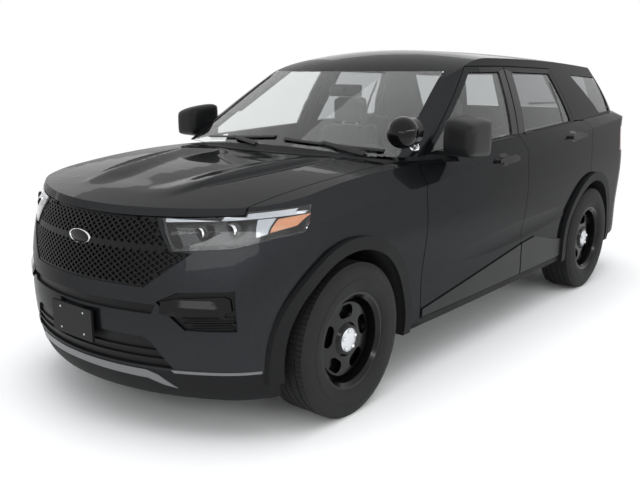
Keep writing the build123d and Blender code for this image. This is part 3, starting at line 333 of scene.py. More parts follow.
# %% Body paint
FLAKE_SCALE, FLAKE_DARK, FLAKE_LIGHT = 1400, (0.006, 0.0065, 0.0075, 1), (0.038, 0.040, 0.044, 1)
TRIM_COLOUR, METAL_SHARE, COAT_SHARE = (0.020, 0.020, 0.021, 1), 0.85, 0.33
PAINT_ROUGHNESS, TRIM_ROUGHER = 0.34, 0.4
body_paint, shader = new_finish(
    "Body paint", (0.008, 0.009, 0.011), PAINT_ROUGHNESS, Coat_Roughness=0.015, Coat_IOR=1.4,
    Specular_IOR_Level=0.02, Specular_Tint=(0.15, 0.15, 0.15, 1),
)
tree = body_paint.node_tree
place = tree.nodes.new("ShaderNodeTexCoord")
flakes = tree.nodes.new("ShaderNodeTexVoronoi")
flakes.inputs["Scale"].default_value = FLAKE_SCALE
ramp = tree.nodes.new("ShaderNodeValToRGB")
ramp.color_ramp.elements[0].color, ramp.color_ramp.elements[1].color = FLAKE_DARK, FLAKE_LIGHT
unpainted = tree.nodes.new("ShaderNodeGroup")
unpainted.node_tree = hidden
blend = tree.nodes.new("ShaderNodeMix")
blend.data_type = "RGBA"
blend.inputs[7].default_value = TRIM_COLOUR
mask = unpainted.outputs["Mask"]
painted = calc(tree, "SUBTRACT", 1, mask)
tree.links.new(place.outputs["Object"], flakes.inputs["Vector"])
tree.links.new(flakes.outputs["Color"], ramp.inputs["Fac"])
tree.links.new(mask, blend.inputs[0])
tree.links.new(ramp.outputs["Color"], blend.inputs[6])
tree.links.new(blend.outputs[2], shader.inputs["Base Color"])
tree.links.new(calc(tree, "MULTIPLY", painted, METAL_SHARE), shader.inputs["Metallic"])
tree.links.new(calc(tree, "MULTIPLY", painted, COAT_SHARE), shader.inputs["Coat Weight"])
tree.links.new(calc(tree, "MULTIPLY_ADD", mask, TRIM_ROUGHER, PAINT_ROUGHNESS), shader.inputs["Roughness"])

# %% [markdown]
# The blacks differ mostly in their gloss. Their mirrored light is kept low, since all around is white.

# %% Plastics, metals and rubber
black_plastic = grained("Grained black plastic", (0.008, 0.0082, 0.0088), 1500, 0.6, Specular_IOR_Level=0.15)
grille_plastic = grained(
    "Black grille plastic", (0.0035, 0.0036, 0.004), 1200, 0.48, 0.1, Specular_IOR_Level=0.2
)
mirror_plastic = grained(
    "Smooth black plastic", (0.008, 0.0082, 0.0088), 2200, 0.42, 0.08, Specular_IOR_Level=0.2
)
gloss_black = grained(
    "Gloss black", (0.003, 0.003, 0.0033), 300, 0.1, 0.05, 0.00005, 0.05,
    Specular_IOR_Level=0.2, Coat_Weight=0.05,
)
wheel_steel = grained(
    "Gloss black wheel steel", (0.004, 0.004, 0.0045), 260, 0.18, 0.08, 0.0001, 0.1,
    Specular_IOR_Level=0.2, Coat_Weight=0.08,
)
black_steel = grained("Satin black chassis paint", (0.02, 0.02, 0.021), 420, 0.5)
cast_metal = grained("Cast metal", (0.16, 0.16, 0.165), 520, 0.5, 0.2, 0.0004, Metallic=0.9)
chrome = grained("Bright metal", (0.82, 0.83, 0.85), 900, 0.09, 0.05, 0.00003, 0.05, Metallic=1.0)
satin_metal = grained("Satin metal", (0.66, 0.67, 0.69), 1200, 0.3, 0.1, 0.00005, 0.1, Metallic=0.8)
skid_grey = grained("Satin grey moulding", (0.13, 0.135, 0.14), 1500, 0.4, 0.1)
cabin_plastic = grained("Soft cabin plastic", (0.024, 0.024, 0.025), 1800, 0.68)
tyre_rubber = grained(
    "Tyre rubber", (0.0115, 0.0115, 0.0118), 700, 0.72, 0.14, 0.0002, 0.3, Specular_IOR_Level=0.25
)
window_rubber = grained("Window rubber", (0.008, 0.008, 0.0085), 1500, 0.5, Specular_IOR_Level=0.2)
# The stripes on the reflectors and the lamp housing are painted shade and highlight of their flutes.
amber = flute_shade_finish("Amber reflector", (0.55, 0.22, 0.10), (0.70, 0.33, 0.17), 0.3, Coat_Weight=0.6)
silver_optics = flute_shade_finish("Silver lamp optics", (0.42, 0.44, 0.47), (0.60, 0.62, 0.65), 0.2, Metallic=0.7)
lamp_black = flute_shade_finish("Dark lamp housing", (0.004, 0.004, 0.005), (0.011, 0.011, 0.012), 0.25)
cloth = grained("Seat cloth", (0.030, 0.031, 0.034), 2600, 0.9, 0.1, 0.0006, 0.5, Sheen_Weight=0.3)
vinyl = grained("Seat vinyl", (0.020, 0.020, 0.022), 1600, 0.48, 0.1, 0.0003, 0.4)

# %% [markdown]
# Glass lets light through and bends nothing that the eye would notice here, so its index is low and its
# colour does the tinting. The front glass is pale and the glass behind the front seats is dark.

# %% Glass and lenses
GLASS_INDEX = 1.35


def new_glass(name, colour):
    return new_finish(name, colour, 0.0, Transmission_Weight=1.0, IOR=GLASS_INDEX)[0]


screen_glass = new_glass("Screen glass", (0.86, 0.88, 0.875))
dark_glass = new_glass("Privacy glass", (0.42, 0.43, 0.44))
clear_lens = new_glass("Clear lens", (0.96, 0.97, 0.98))
red_lens = new_finish("Red lens", (0.32, 0.008, 0.012), 0.08, Coat_Weight=1.0)[0]


# %% [markdown]
# ## The parts of the model
# The sheet metal, glass and plastics of the model keep their shapes and only get their finishes.

# %% Give each node its finish
def dress(finish, *names):
    for name in names:
        mesh = nodes[name].data
        mesh.materials.clear()
        mesh.materials.append(finish)


dress(body_paint, "side_frame_left", "side_frame_right", "roof_panel", "front_fenders", "bonnet", "tailgate")
dress(body_paint, "front_bumper", "rear_bumper", *[f"{a}_{s}_door" for a in AXLES for s in SIDES])
dress(black_plastic, "front_valance", "sills", "arch_trims", "firewall")
dress(grille_plastic, "upper_grille", "lower_grilles", "plate_bracket")
dress(black_steel, "floor_pan", "radiator", "front_subframe", "rear_subframe")
dress(mirror_plastic, *[f"{a}_{s}_trim" for a in AXLES for s in SIDES])
dress(screen_glass, "windshield", "front_left_window", "front_right_window")
dress(dark_glass, "rear_left_window", "rear_right_window", "quarter_windows", "tailgate_window")
dress(clear_lens, "headlamp_lenses")
dress(lamp_black, "headlamp_buckets")
dress(gloss_black, "spotlight")
dress(red_lens, "tail_lamps", "tailgate_lamps")
dress(cabin_plastic, "dashboard")
dress(cast_metal, "engine", "rear_carriers", "front_left_knuckle", "front_right_knuckle")
dress(wheel_steel, *[f"{a}_{s}_rim" for a in AXLES for s in SIDES])

# %% [markdown]
# ## The grille
# The grille is a moulded mesh of diamonds. A square grid turned by 45 degrees and squashed gives them, and
# an inset of every face leaves the bars once the middles are gone. The press gives the nose's curve.

# %% Grille mesh
DIAMOND_WIDTH, DIAMOND_HEIGHT, MESH_CELLS, MESH_MIDDLE = 0.0385, 0.0265, 46, 0.871
BAR_WIDTH, BAR_DEPTH, BAR_LIFT, LEAST_MIDDLE = 0.0031, 0.008, 0.002, 0.00012
nose_tree = tree_of("upper_grille")
mesh_bm = bmesh.new()
bmesh.ops.create_grid(mesh_bm, x_segments=MESH_CELLS, y_segments=MESH_CELLS, size=MESH_CELLS / 2)
bmesh.ops.rotate(mesh_bm, verts=mesh_bm.verts, matrix=Matrix.Rotation(radians(45), 3, "Z"))
bmesh.ops.scale(mesh_bm, verts=mesh_bm.verts, vec=(DIAMOND_WIDTH / 2**0.5, DIAMOND_HEIGHT / 2**0.5, 1))
bmesh.ops.rotate(mesh_bm, verts=mesh_bm.verts, matrix=Matrix.Rotation(radians(90), 3, "X"))
bmesh.ops.translate(mesh_bm, verts=mesh_bm.verts, vec=(0, 0, MESH_MIDDLE))
grille_low, grille_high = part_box("upper_grille")


def trim_mesh(bm, place, normal, keep=lambda face: True):
    """Cuts the faces that `keep` picks by a plane and drops what lies on the plane's far side."""
    faces = [f for f in bm.faces if keep(f)]
    geom = list({g for f in faces for g in (f, *f.edges, *f.verts)})
    bmesh.ops.bisect_plane(bm, geom=geom, plane_co=place, plane_no=normal, clear_outer=True)


# The grille is widest at one level. A flank is a corner (x, z) and the outward slope of the cut through it.
WIDEST = 0.8845
UPPER_FLANK, LOWER_FLANK = ((0.508, 0.884), (0.136, 0.098)), ((0.602, 0.881), (0.159, -0.190))
trim_mesh(mesh_bm, (0, 0, grille_high.z), (0, 0, 1))
trim_mesh(mesh_bm, (0, 0, grille_low.z), (0, 0, -1))
bmesh.ops.bisect_plane(mesh_bm, geom=all_geometry(mesh_bm), plane_co=(0, 0, WIDEST), plane_no=(0, 0, 1))
for sign in (1, -1):
    for upper, ((x, z), (slope_x, slope_z)) in ((True, UPPER_FLANK), (False, LOWER_FLANK)):
        trim_mesh(
            mesh_bm, (sign * x, 0, z), (sign * slope_x, 0, slope_z),
            lambda face: (face.calc_center_median().z > WIDEST) == upper,
        )
bmesh.ops.inset_individual(mesh_bm, faces=mesh_bm.faces[:], thickness=BAR_WIDTH, use_even_offset=True)
middles = [f for f in mesh_bm.faces if f.calc_area() > LEAST_MIDDLE and len(f.verts) == 4]
bmesh.ops.delete(mesh_bm, geom=middles, context="FACES_ONLY")
press(mesh_bm, nose_tree, REARWARD, BAR_LIFT)
extrude(mesh_bm, FRONTWARD * BAR_DEPTH)
make_piece("grille_mesh", mesh_bm, grille_plastic)

# %% [markdown]
# ## Wheels
# Tyres, hub caps and later the exhaust are turned from a half section about an axle. Each piece of a wheel is
# made about the origin and then put at its wheel.

# %% Turn a section about an axle
def turned(section, steps, closed=False):
    """section: (place along the axle, radius) of each corner."""
    bm = bmesh.new()
    verts = [bm.verts.new((x, 0, r)) for x, r in section]
    edges = [bm.edges.new(pair) for pair in zip(verts, verts[1:] + verts[:1] if closed else verts[1:])]
    bmesh.ops.spin(
        bm, geom=verts + edges, cent=(0, 0, 0), axis=(1, 0, 0), angle=2 * pi, steps=steps, use_merge=True
    )
    bmesh.ops.remove_doubles(bm, verts=bm.verts, dist=MERGE_DISTANCE)
    bmesh.ops.recalc_face_normals(bm, faces=bm.faces)
    return bm


def at_wheel(bm, axle, side):
    bmesh.ops.translate(bm, verts=bm.verts, vec=WHEEL_MIDDLE + Vector((0, AXLE_Y[axle], 0)))
    return on_side(bm, side)


# %% [markdown]
# The section of a tyre runs from the bead over the sidewall's bulge and a raised ring to five tread ribs. The
# faces of the ribs are inset and lifted one by one, which leaves the grooves between blocks.

# %% Tyre with tread
TREAD_RIBS = ((-0.104, -0.066), (-0.059, -0.024), (-0.018, 0.018), (0.024, 0.059), (0.066, 0.104))
TREAD_RADIUS, TREAD_NARROW, TREAD_HEIGHT, LEAST_BLOCK, TREAD_SHARP = 0.3745, 0.0016, 0.0068, 0.0003, 28
TYRE_SECTION = [
    (0.097, 0.2295), (0.109, 0.2415), (0.1185, 0.252), (0.1245, 0.272), (0.1275, 0.300), (0.1268, 0.305),
    (0.1255, 0.3055), (0.1245, 0.318), (0.1252, 0.3185), (0.123, 0.338), (0.119, 0.353), (0.112, 0.366),
]


def make_tyre():
    ribs = [(x, TREAD_RADIUS) for low, high in reversed(TREAD_RIBS) for x in (high, low)]
    bm = turned(TYRE_SECTION + ribs + [(-x, r) for x, r in reversed(TYRE_SECTION)], 96, closed=True)
    blocks = []
    for face in bm.faces:
        middle = face.calc_center_median()
        on_tread = (middle.y**2 + middle.z**2) ** 0.5 > TREAD_RADIUS - 0.001
        on_rib = any(low < middle.x < high for low, high in TREAD_RIBS)
        if on_tread and on_rib and face.calc_area() > LEAST_BLOCK:
            blocks.append(face)
    bmesh.ops.inset_individual(bm, faces=blocks, thickness=TREAD_NARROW, depth=TREAD_HEIGHT)
    return bm


for axle in AXLES:
    for side in SIDES:
        wheel, bm = f"{axle}_{side}_wheel", at_wheel(make_tyre(), axle, side)
        tyre = make_piece(f"{axle}_{side}_tread", bm, tyre_rubber, wheel, TREAD_SHARP)
        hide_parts(f"{axle}_{side}_tyre")

# %% [markdown]
# The bright cap in the middle of each wheel is a shallow cup with a dome over each of its five nuts.

# %% Hub cap with nut covers
CAP_SECTION = (
    (0.0865, 0.0001), (0.0885, 0.012), (0.0875, 0.022), (0.0862, 0.040), (0.0835, 0.055), (0.0785, 0.0625),
    (0.073, 0.064),
)
NUTS, NUT_TURN, NUT_CIRCLE, NUT_PLACE, NUT_RADIUS = 5, 18, 0.046, 0.0855, 0.0115


def make_cap():
    bm = turned(CAP_SECTION, 60)
    for index in range(NUTS):
        turn = radians(360 / NUTS * index + NUT_TURN)
        place = (NUT_PLACE, NUT_CIRCLE * cos(turn), NUT_CIRCLE * sin(turn))
        bm = merged(bm, dome(NUT_RADIUS, (0.75, 1, 1), place))
    return bm


for axle in AXLES:
    for side in SIDES:
        cap = at_wheel(make_cap(), axle, side)
        make_piece(f"{axle}_{side}_cap", cap, satin_metal, f"{axle}_{side}_wheel")

# %% [markdown]
# ## Lamps and the nose
# Behind each clear lens lie a light bar along the top, two round projectors in bright rings, an amber
# reflector at the outer end and a bright one beside it. All follow the lamp's curve.

# %% Headlamp optics
LIGHT_BAR = ((0.434, 1.019), (0.720, 1.040), (0.922, 1.064), (0.922, 1.038), (0.720, 1.018), (0.440, 0.999))
AMBER = ((0.856, 1.022), (0.912, 1.034), (0.908, 0.992), (0.850, 0.968))
COVER = ((0.800, 1.022), (0.848, 1.026), (0.842, 0.962), (0.812, 0.950))
PROJECTORS = ((0.605, 0.958), (0.720, 0.974))
OPTIC_SHEET, OPTIC_STEP = 0.003, 0.02
housing_tree, lens_tree = tree_of("headlamp_buckets"), tree_of("headlamp_lenses")


def ring(x, z):
    """A bright ring standing on the housing."""
    front = nose_point(housing_tree, x, z)
    bm = bmesh.new()
    bmesh.ops.create_cone(
        bm, cap_ends=False, segments=40, radius1=0.031, radius2=0.0285, depth=0.014,
        matrix=Matrix.Translation(front + Vector((0, -0.003, 0))) @ Matrix.Rotation(radians(90), 4, "X"),
    )
    return bm


def ring_dome(x, z):
    front = nose_point(housing_tree, x, z)
    return dome(0.0275, (1, 0.35, 1), front + Vector((0, 0.001, 0)), 32)


def optic(points, depth):
    """A sheet that lies this deep behind the lens."""
    return patch(points, lens_tree, REARWARD, -depth, OPTIC_SHEET, OPTIC_STEP)


for side in SIDES:
    for name, bm, finish in (
        ("light_bar", optic(LIGHT_BAR, 0.010), silver_optics),
        ("lamp_rings", merged(*[ring(*spot) for spot in PROJECTORS]), chrome),
        ("lamp_domes", merged(*[ring_dome(*spot) for spot in PROJECTORS]), gloss_black),
        ("amber_reflector", optic(AMBER, 0.012), amber),
        ("lamp_reflector", optic(COVER, 0.016), silver_optics),
    ):
        make_piece(f"{side}_{name}", on_side(bm, side), finish)

# %% [markdown]
# Each fog pocket has a gloss black bar across its upper half and four slats below.

# %% Fog lamp bars
FOG_BAR = (
    (0.490, 0.664), (0.560, 0.684), (0.735, 0.700), (0.756, 0.690), (0.762, 0.640), (0.740, 0.622),
    (0.540, 0.606), (0.498, 0.618),
)
FOG_LIFT, FOG_SHEET, SLAT_LIFT, SLAT_SHEET, SLAT_DROP, SLAT_SHIFT = 0.004, 0.010, 0.0005, 0.006, 0.016, 0.012
FOG_SLATS = [
    (
        (0.585 + SLAT_SHIFT * i, 0.602 - SLAT_DROP * i), (0.765, 0.610 - SLAT_DROP * i),
        (0.765, 0.603 - SLAT_DROP * i), (0.588 + SLAT_SHIFT * i, 0.595 - SLAT_DROP * i),
    )
    for i in range(4)
]
fog_tree = tree_of("lower_grilles", "front_bumper")
for side in SIDES:
    bar = patch(FOG_BAR, fog_tree, REARWARD, FOG_LIFT, FOG_SHEET)
    slats = merged(*[patch(slat, fog_tree, REARWARD, SLAT_LIFT, SLAT_SHEET) for slat in FOG_SLATS])
    make_piece(f"{side}_fog_bar", on_side(bar, side), gloss_black)
    make_piece(f"{side}_fog_slats", on_side(slats, side), black_plastic)

# %% [markdown]
# The badge's place is a plain oval with a bright rim and nothing on it. The face is a flattened ball, and the
# rim is a small circle spun about the middle. Both are squashed to an oval.

# %% Blank oval badge
BADGE_Z, BADGE_LIFT, FACE_SIZE, RIM_SIZE = 0.899, 0.010, (0.142, 0.058), (0.150, 0.064)


def oval(bm, width, height):
    bmesh.ops.scale(bm, verts=bm.verts, vec=(width / 2, 1, height / 2))
    front = nose_point(nose_tree, 0, BADGE_Z)
    bmesh.ops.translate(bm, verts=bm.verts, vec=front + FRONTWARD * BADGE_LIFT)
    return bm


face_bm = bmesh.new()
bmesh.ops.create_uvsphere(face_bm, u_segments=48, v_segments=12, radius=1)
bmesh.ops.rotate(face_bm, verts=face_bm.verts, matrix=Matrix.Rotation(radians(90), 3, "X"))
bmesh.ops.scale(face_bm, verts=face_bm.verts, vec=(1, 0.008, 1))
make_piece("badge_face", oval(face_bm, *FACE_SIZE), gloss_black)
rim_bm = bmesh.new()
bmesh.ops.create_circle(rim_bm, segments=12, radius=0.06)
bmesh.ops.translate(rim_bm, verts=rim_bm.verts, vec=(1, 0, 0))
bmesh.ops.scale(rim_bm, verts=rim_bm.verts, vec=(1, 0.12, 1))
bmesh.ops.spin(
    rim_bm, geom=rim_bm.verts[:] + rim_bm.edges[:], cent=(0, 0, 0), axis=(0, 1, 0), angle=2 * pi, steps=56,
    use_merge=True,
)
make_piece("badge_rim", oval(rim_bm, *RIM_SIZE), chrome)

# %% [markdown]
# ## Doors and windows
# Rubber strips run under and over the side windows, and the pillars between the doors are gloss black. A
# narrow bar splits off the rear door's fixed corner pane.

# %% Window trim
RUBBER_SHEET, BELT_SHEET, GLOSS_SHEET, DIVIDER_SHEET = 0.0012, 0.0035, 0.0012, 0.0015
WINDOW_TRIM = (
    ("front", "belt", "door", window_rubber, BELT_SHEET,
     ((-0.620, 1.203), (0.127, 1.2265), (0.127, 1.2385), (-0.620, 1.215))),
    ("front", "pillar", "door", gloss_black, GLOSS_SHEET,
     ((0.129, 1.246), (0.2075, 1.243), (0.297, 1.644), (0.218, 1.626))),
    ("front", "header", "door", window_rubber, RUBBER_SHEET,
     ((-0.170, 1.618), (-0.205, 1.648), (0.290, 1.652), (0.218, 1.626))),
    ("rear", "belt", "door", window_rubber, BELT_SHEET,
     ((0.305, 1.236), (1.130, 1.266), (1.130, 1.279), (0.305, 1.249))),
    ("rear", "pillar", "door", gloss_black, GLOSS_SHEET,
     ((0.221, 1.243), (0.313, 1.250), (0.401, 1.623), (0.316, 1.645))),
    ("rear", "header", "door", window_rubber, RUBBER_SHEET,
     ((0.403, 1.622), (0.322, 1.650), (1.050, 1.636), (1.014, 1.608))),
    ("rear", "divider", "window", gloss_black, DIVIDER_SHEET,
     ((0.985, 1.274), (1.012, 1.275), (0.998, 1.607), (0.975, 1.608))),
)
door_trees = {(axle, kind): tree_of(f"{axle}_left_{kind}") for axle in AXLES for kind in ("door", "window")}
for axle, name, kind, finish, thickness, points in WINDOW_TRIM:
    for side in SIDES:
        bm = patch(points, door_trees[axle, kind], INWARD, TRIM_LIFT, thickness, 0.06)
        make_piece(f"{axle}_{side}_{name}", on_side(bm, side), finish, f"{axle}_{side}_door_body")

# %% [markdown]
# Each door has a grip that stands off the panel. Behind it a flat gloss black sheet lies on the panel where
# the finger cup would be: painted shade of a cup that is not cut into the panel.

# %% Door grips
GRIPS = {
    "front": (
        (-0.218, 1.104), (-0.205, 1.136), (-0.022, 1.141), (-0.012, 1.112), (-0.030, 1.100), (-0.205, 1.095),
    ),
    "rear": ((0.874, 1.173), (0.887, 1.205), (1.070, 1.210), (1.080, 1.181), (1.062, 1.169), (0.887, 1.164)),
}
GRIP_LIFT, GRIP_SHEET, CUP_SHEET = 0.026, 0.013, 0.0012
CUP_INSET, CUP_CORNER, CUP_SIDE, CUP_TOP = 0.055, 0.018, 0.026, 0.036
for axle, points in GRIPS.items():
    low, high = min(points)[0] + CUP_INSET, max(points)[0] - CUP_INSET
    level = sum(z for _, z in points) / len(points)
    corners = (
        (low, CUP_SIDE), (low + CUP_CORNER, CUP_TOP), (high - CUP_CORNER, CUP_TOP), (high, CUP_SIDE),
        (high, -CUP_SIDE), (high - CUP_CORNER, -CUP_TOP), (low + CUP_CORNER, -CUP_TOP), (low, -CUP_SIDE),
    )
    cup_points = [(y, level + rise) for y, rise in corners]
    for side in SIDES:
        body = f"{axle}_{side}_door_body"
        grip = patch(points, door_trees[axle, "door"], INWARD, GRIP_LIFT, GRIP_SHEET)
        make_piece(f"{axle}_{side}_grip", on_side(grip, side), mirror_plastic, body)
        # Painted shade: a flat dark sheet in the place of the finger cup.
        cup_shade = patch(cup_points, door_trees[axle, "door"], INWARD, TRIM_LIFT, CUP_SHEET)
        make_piece(f"{axle}_{side}_cup", on_side(cup_shade, side), gloss_black, body)

# %% [markdown]
# Two parked wipers lie along the foot of the windshield, each a blade on the glass with its arm above.

# %% Wipers
BLADE, ARM = (0.004, 0.012), (0.017, 0.008)  # lift and thickness
WIPERS = (
    ("left_wiper_blade", ((0.700, 1.2185), (0.060, 1.2495), (0.060, 1.2595), (0.700, 1.2285)), BLADE),
    ("left_wiper_arm", ((0.620, 1.1970), (0.330, 1.2450), (0.330, 1.2570), (0.620, 1.2170)), ARM),
    ("right_wiper_blade", ((-0.020, 1.2580), (-0.600, 1.2235), (-0.600, 1.2335), (-0.020, 1.2680)), BLADE),
    ("right_wiper_arm", ((0.020, 1.2020), (-0.330, 1.2380), (-0.330, 1.2500), (0.020, 1.2220)), ARM),
)
screen_tree = tree_of("windshield")
for name, points, (lift, thickness) in WIPERS:
    make_piece(name, patch(points, screen_tree, REARWARD, lift, thickness, 0.05), window_rubber)

# %% [markdown]
# ## Cushions
# A cushion is lofted from the side outline of the seat: the outline is pulled across the seat in steps, each
# a little smaller near the ends and drawn in along two sewn channels. Subdivision then rounds it all.

# %% Seats
# Each step is a place across the half width and the size of the outline there.
STEPS = (
    (-1.0, 0.72), (-0.985, 0.86), (-0.93, 0.96), (-0.75, 1.0), (-0.56, 1.0), (-0.54, 0.955), (-0.52, 1.0),
    (0.0, 1.015), (0.52, 1.0), (0.54, 0.955), (0.56, 1.0), (0.75, 1.0), (0.93, 0.96), (0.985, 0.86),
    (1.0, 0.72),
)
END_MARGIN = 0.001


def cushion(outline, middle, width):
    """outline: (y, z) corners seen from the side."""
    bm = bmesh.new()
    first, first_size = STEPS[0]
    bm.faces.new([bm.verts.new((middle + first * width / 2, y, z)) for y, z in outline])
    bmesh.ops.subdivide_edges(bm, edges=bm.edges[:], cuts=2)
    face = bm.faces[:][0]
    heart = face.calc_center_median()
    to_heart = Matrix.Translation(-heart)
    bmesh.ops.scale(bm, vec=(1, first_size, first_size), verts=bm.verts[:], space=to_heart)
    for (before, small), (after, large) in zip(STEPS, STEPS[1:]):
        out = bmesh.ops.extrude_face_region(bm, geom=[face])
        face = [g for g in out["geom"] if isinstance(g, bmesh.types.BMFace)][0]
        bmesh.ops.translate(bm, verts=face.verts, vec=((after - before) * width / 2, 0, 0))
        bmesh.ops.scale(bm, vec=(1, large / small, large / small), verts=face.verts, space=to_heart)
    # The outline's face stays behind at each step, and all but the two ends go
    reach = width / 2 - END_MARGIN
    across = [f for f in bm.faces if len(f.verts) > 8 and abs(f.normal.x) > 0.9]
    inner = [f for f in across if -reach < f.calc_center_median().x - middle < reach]
    bmesh.ops.delete(bm, geom=inner, context="FACES_ONLY")
    return bm


# Side outline and width of each cushion: seat, back and, in front, head rest
FRONT_PADS = (
    (((-0.545, 0.50), (-0.560, 0.635), (-0.48, 0.668), (-0.03, 0.632), (0.02, 0.52)), 0.49),
    (((-0.045, 0.56), (-0.02, 0.70), (0.085, 1.245), (0.175, 1.255), (0.150, 0.95), (0.085, 0.53)), 0.47),
    (((0.105, 1.270), (0.095, 1.430), (0.155, 1.448), (0.183, 1.36), (0.175, 1.262)), 0.25),
)
REAR_PADS = (
    (((0.425, 0.48), (0.412, 0.635), (0.48, 0.674), (0.84, 0.645), (0.89, 0.50)), 1.28),
    (((0.855, 0.575), (0.87, 0.68), (0.965, 1.215), (1.06, 1.235), (1.03, 0.95), (0.945, 0.575)), 1.27),
)
SEAT_MIDDLES, SEAT_SHARP = (0.38, -0.38), 80


def make_seat(name, pads, places, finish, node):
    bm = merged(*[cushion(outline, place, width) for place in places for outline, width in pads])
    seat = make_piece(name, bm, finish, angle=SEAT_SHARP)
    rounding = seat.modifiers.new("Rounding", "SUBSURF")
    rounding.levels = rounding.render_levels = 2
    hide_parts(node)


make_seat("front_seat_pads", FRONT_PADS, SEAT_MIDDLES, cloth, "front_seats")
make_seat("rear_seat_pads", REAR_PADS, (0,), vinyl, "rear_seat")
bases = [rounded_block((x - 0.21, -0.50, 0.3365), (x + 0.21, 0.02, 0.53), 0.02) for x in SEAT_MIDDLES]
make_piece("front_seat_bases", merged(*bases), cabin_plastic)
make_piece("rear_seat_base", rounded_block((-0.60, 0.46, 0.3365), (0.60, 0.87, 0.52), 0.03), cabin_plastic)
post_middles = [x + sign * 0.06 for x in SEAT_MIDDLES for sign in (1, -1)]
posts = [rounded_block((x - 0.006, 0.130, 1.22), (x + 0.006, 0.142, 1.31), 0.003) for x in post_middles]
make_piece("head_rest_posts", merged(*posts), satin_metal)

# %% [markdown]
# The housing of a door mirror is one rounded shell over the working parts. A finely cut box is smoothed until
# its corners are round. Its outer and front ends are first drawn in and down, as wind and rain would have it.
# The glass lies in its flat back.

# %% Mirror shells
SHELL_LOW, SHELL_HIGH = Vector((0.948, -0.872, 1.180)), Vector((1.1325, -0.618, 1.412))
SHELL_CUTS, SHELL_ROUNDS, GLASS_LIFT, GLASS_SHEET = 11, 14, 0.0005, 0.0015
OUTER_DROP, FRONT_DROP, FRONT_RISE = 0.035, 0.022, 0.020
MIRROR_GLASS = (
    (0.995, 1.225), (1.090, 1.222), (1.106, 1.270), (1.092, 1.325), (1.010, 1.358), (0.990, 1.335),
)


def mirror_shell():
    bm = bmesh.new()
    bmesh.ops.create_cube(bm, size=1)
    bmesh.ops.subdivide_edges(bm, edges=bm.edges[:], cuts=SHELL_CUTS, use_grid_fill=True)
    bmesh.ops.scale(bm, vec=SHELL_HIGH - SHELL_LOW, verts=bm.verts)
    bmesh.ops.translate(bm, vec=(SHELL_HIGH + SHELL_LOW) / 2, verts=bm.verts)
    for vert in bm.verts:
        ahead = (SHELL_HIGH.y - vert.co.y) / (SHELL_HIGH.y - SHELL_LOW.y)
        high = (vert.co.z - SHELL_LOW.z) / (SHELL_HIGH.z - SHELL_LOW.z)
        outer = (vert.co.x - SHELL_LOW.x) / (SHELL_HIGH.x - SHELL_LOW.x)
        vert.co.z -= OUTER_DROP * high * outer**2 + FRONT_DROP * high * ahead**2
        vert.co.z += FRONT_RISE * (1 - high) * ahead
    for _ in range(SHELL_ROUNDS):
        bmesh.ops.smooth_vert(
            bm, verts=bm.verts, factor=0.5, use_axis_x=True, use_axis_y=True, use_axis_z=True
        )
    return bm


for side in SIDES:
    shell = mirror_shell()
    glass = patch(MIRROR_GLASS, BVHTree.FromBMesh(shell), FRONTWARD, GLASS_LIFT, GLASS_SHEET, 0.05)
    body = f"front_{side}_door_body"
    make_piece(f"front_{side}_mirror_shell", on_side(shell, side), mirror_plastic, body)
    make_piece(f"front_{side}_mirror_glass", on_side(glass, side), chrome, body)
cabin_mirror = merged(
    rounded_block((-0.125, -0.450, 1.470), (0.125, -0.418, 1.545), 0.014),
    rounded_block((-0.020, -0.500, 1.500), (0.020, -0.440, 1.530), 0.006),
)
make_piece("cabin_mirror", cabin_mirror, cabin_plastic)

# %% [markdown]
# ## The tail
# The hidden rear end has what such a car has there: lamps with bright bands, a blank plate recess under a
# handle bar, a bumper with a grey strip and reflectors, two tail pipes, a wiper and a high brake lamp.

# %% Tail trim
HIGH_BRAKE_LAMP = ((-0.160, 1.676), (0.160, 1.676), (0.160, 1.663), (-0.160, 1.663))
TAIL_BAR = ((-0.470, 1.062), (0.470, 1.062), (0.470, 1.012), (-0.470, 1.012))
PLATE_RECESS = ((-0.190, 0.985), (0.190, 0.985), (0.180, 0.800), (-0.180, 0.800))
LAMP_BAND = ((0.545, 1.105), (0.645, 1.108), (0.645, 1.085), (0.545, 1.082))
REAR_SKID = ((-0.520, 0.440), (0.520, 0.440), (0.460, 0.385), (-0.460, 0.385))
REFLECTOR = ((0.680, 0.560), (0.850, 0.560), (0.850, 0.532), (0.680, 0.532))
REAR_WIPER = ((-0.020, 1.345), (0.330, 1.362), (0.330, 1.350), (-0.020, 1.325))
tailgate_tree = tree_of("tailgate", "tailgate_lamps", "tailgate_window")
bumper_tree = tree_of("rear_bumper")


def tail_patch(points, tree, thickness, step=0.05, lift=0.0003):
    return patch(points, tree, FRONTWARD, lift, thickness, step)


brake_lamp = tail_patch(HIGH_BRAKE_LAMP, tailgate_tree, 0.0025, 0.04)
make_piece("high_brake_lamp", brake_lamp, red_lens, "tailgate_body")
make_piece("tail_bar", tail_patch(TAIL_BAR, tailgate_tree, 0.008), gloss_black, "tailgate_body")
recess = tail_patch(PLATE_RECESS, tailgate_tree, 0.003)
make_piece("rear_plate_recess", recess, grille_plastic, "tailgate_body")
for side in SIDES:
    band = tail_patch(LAMP_BAND, tailgate_tree, 0.002, 0.03)
    make_piece(f"{side}_tailgate_lamp_band", on_side(band, side), silver_optics, "tailgate_body")
make_piece("rear_skid", tail_patch(REAR_SKID, bumper_tree, 0.0025), skid_grey)
for side in SIDES:
    reflector = tail_patch(REFLECTOR, bumper_tree, 0.0025, 0.03)
    make_piece(f"{side}_rear_reflector", on_side(reflector, side), red_lens)
rear_wiper = tail_patch(REAR_WIPER, tailgate_tree, 0.010, lift=0.006)
make_piece("rear_wiper", rear_wiper, window_rubber, "tailgate_body")

# %% [markdown]
# The exhaust ends in two pipes with rolled rims. Below the cargo floor hangs the silencer that feeds them: a
# flattened drum with rounded rims, between the rear subframe and the bumper.

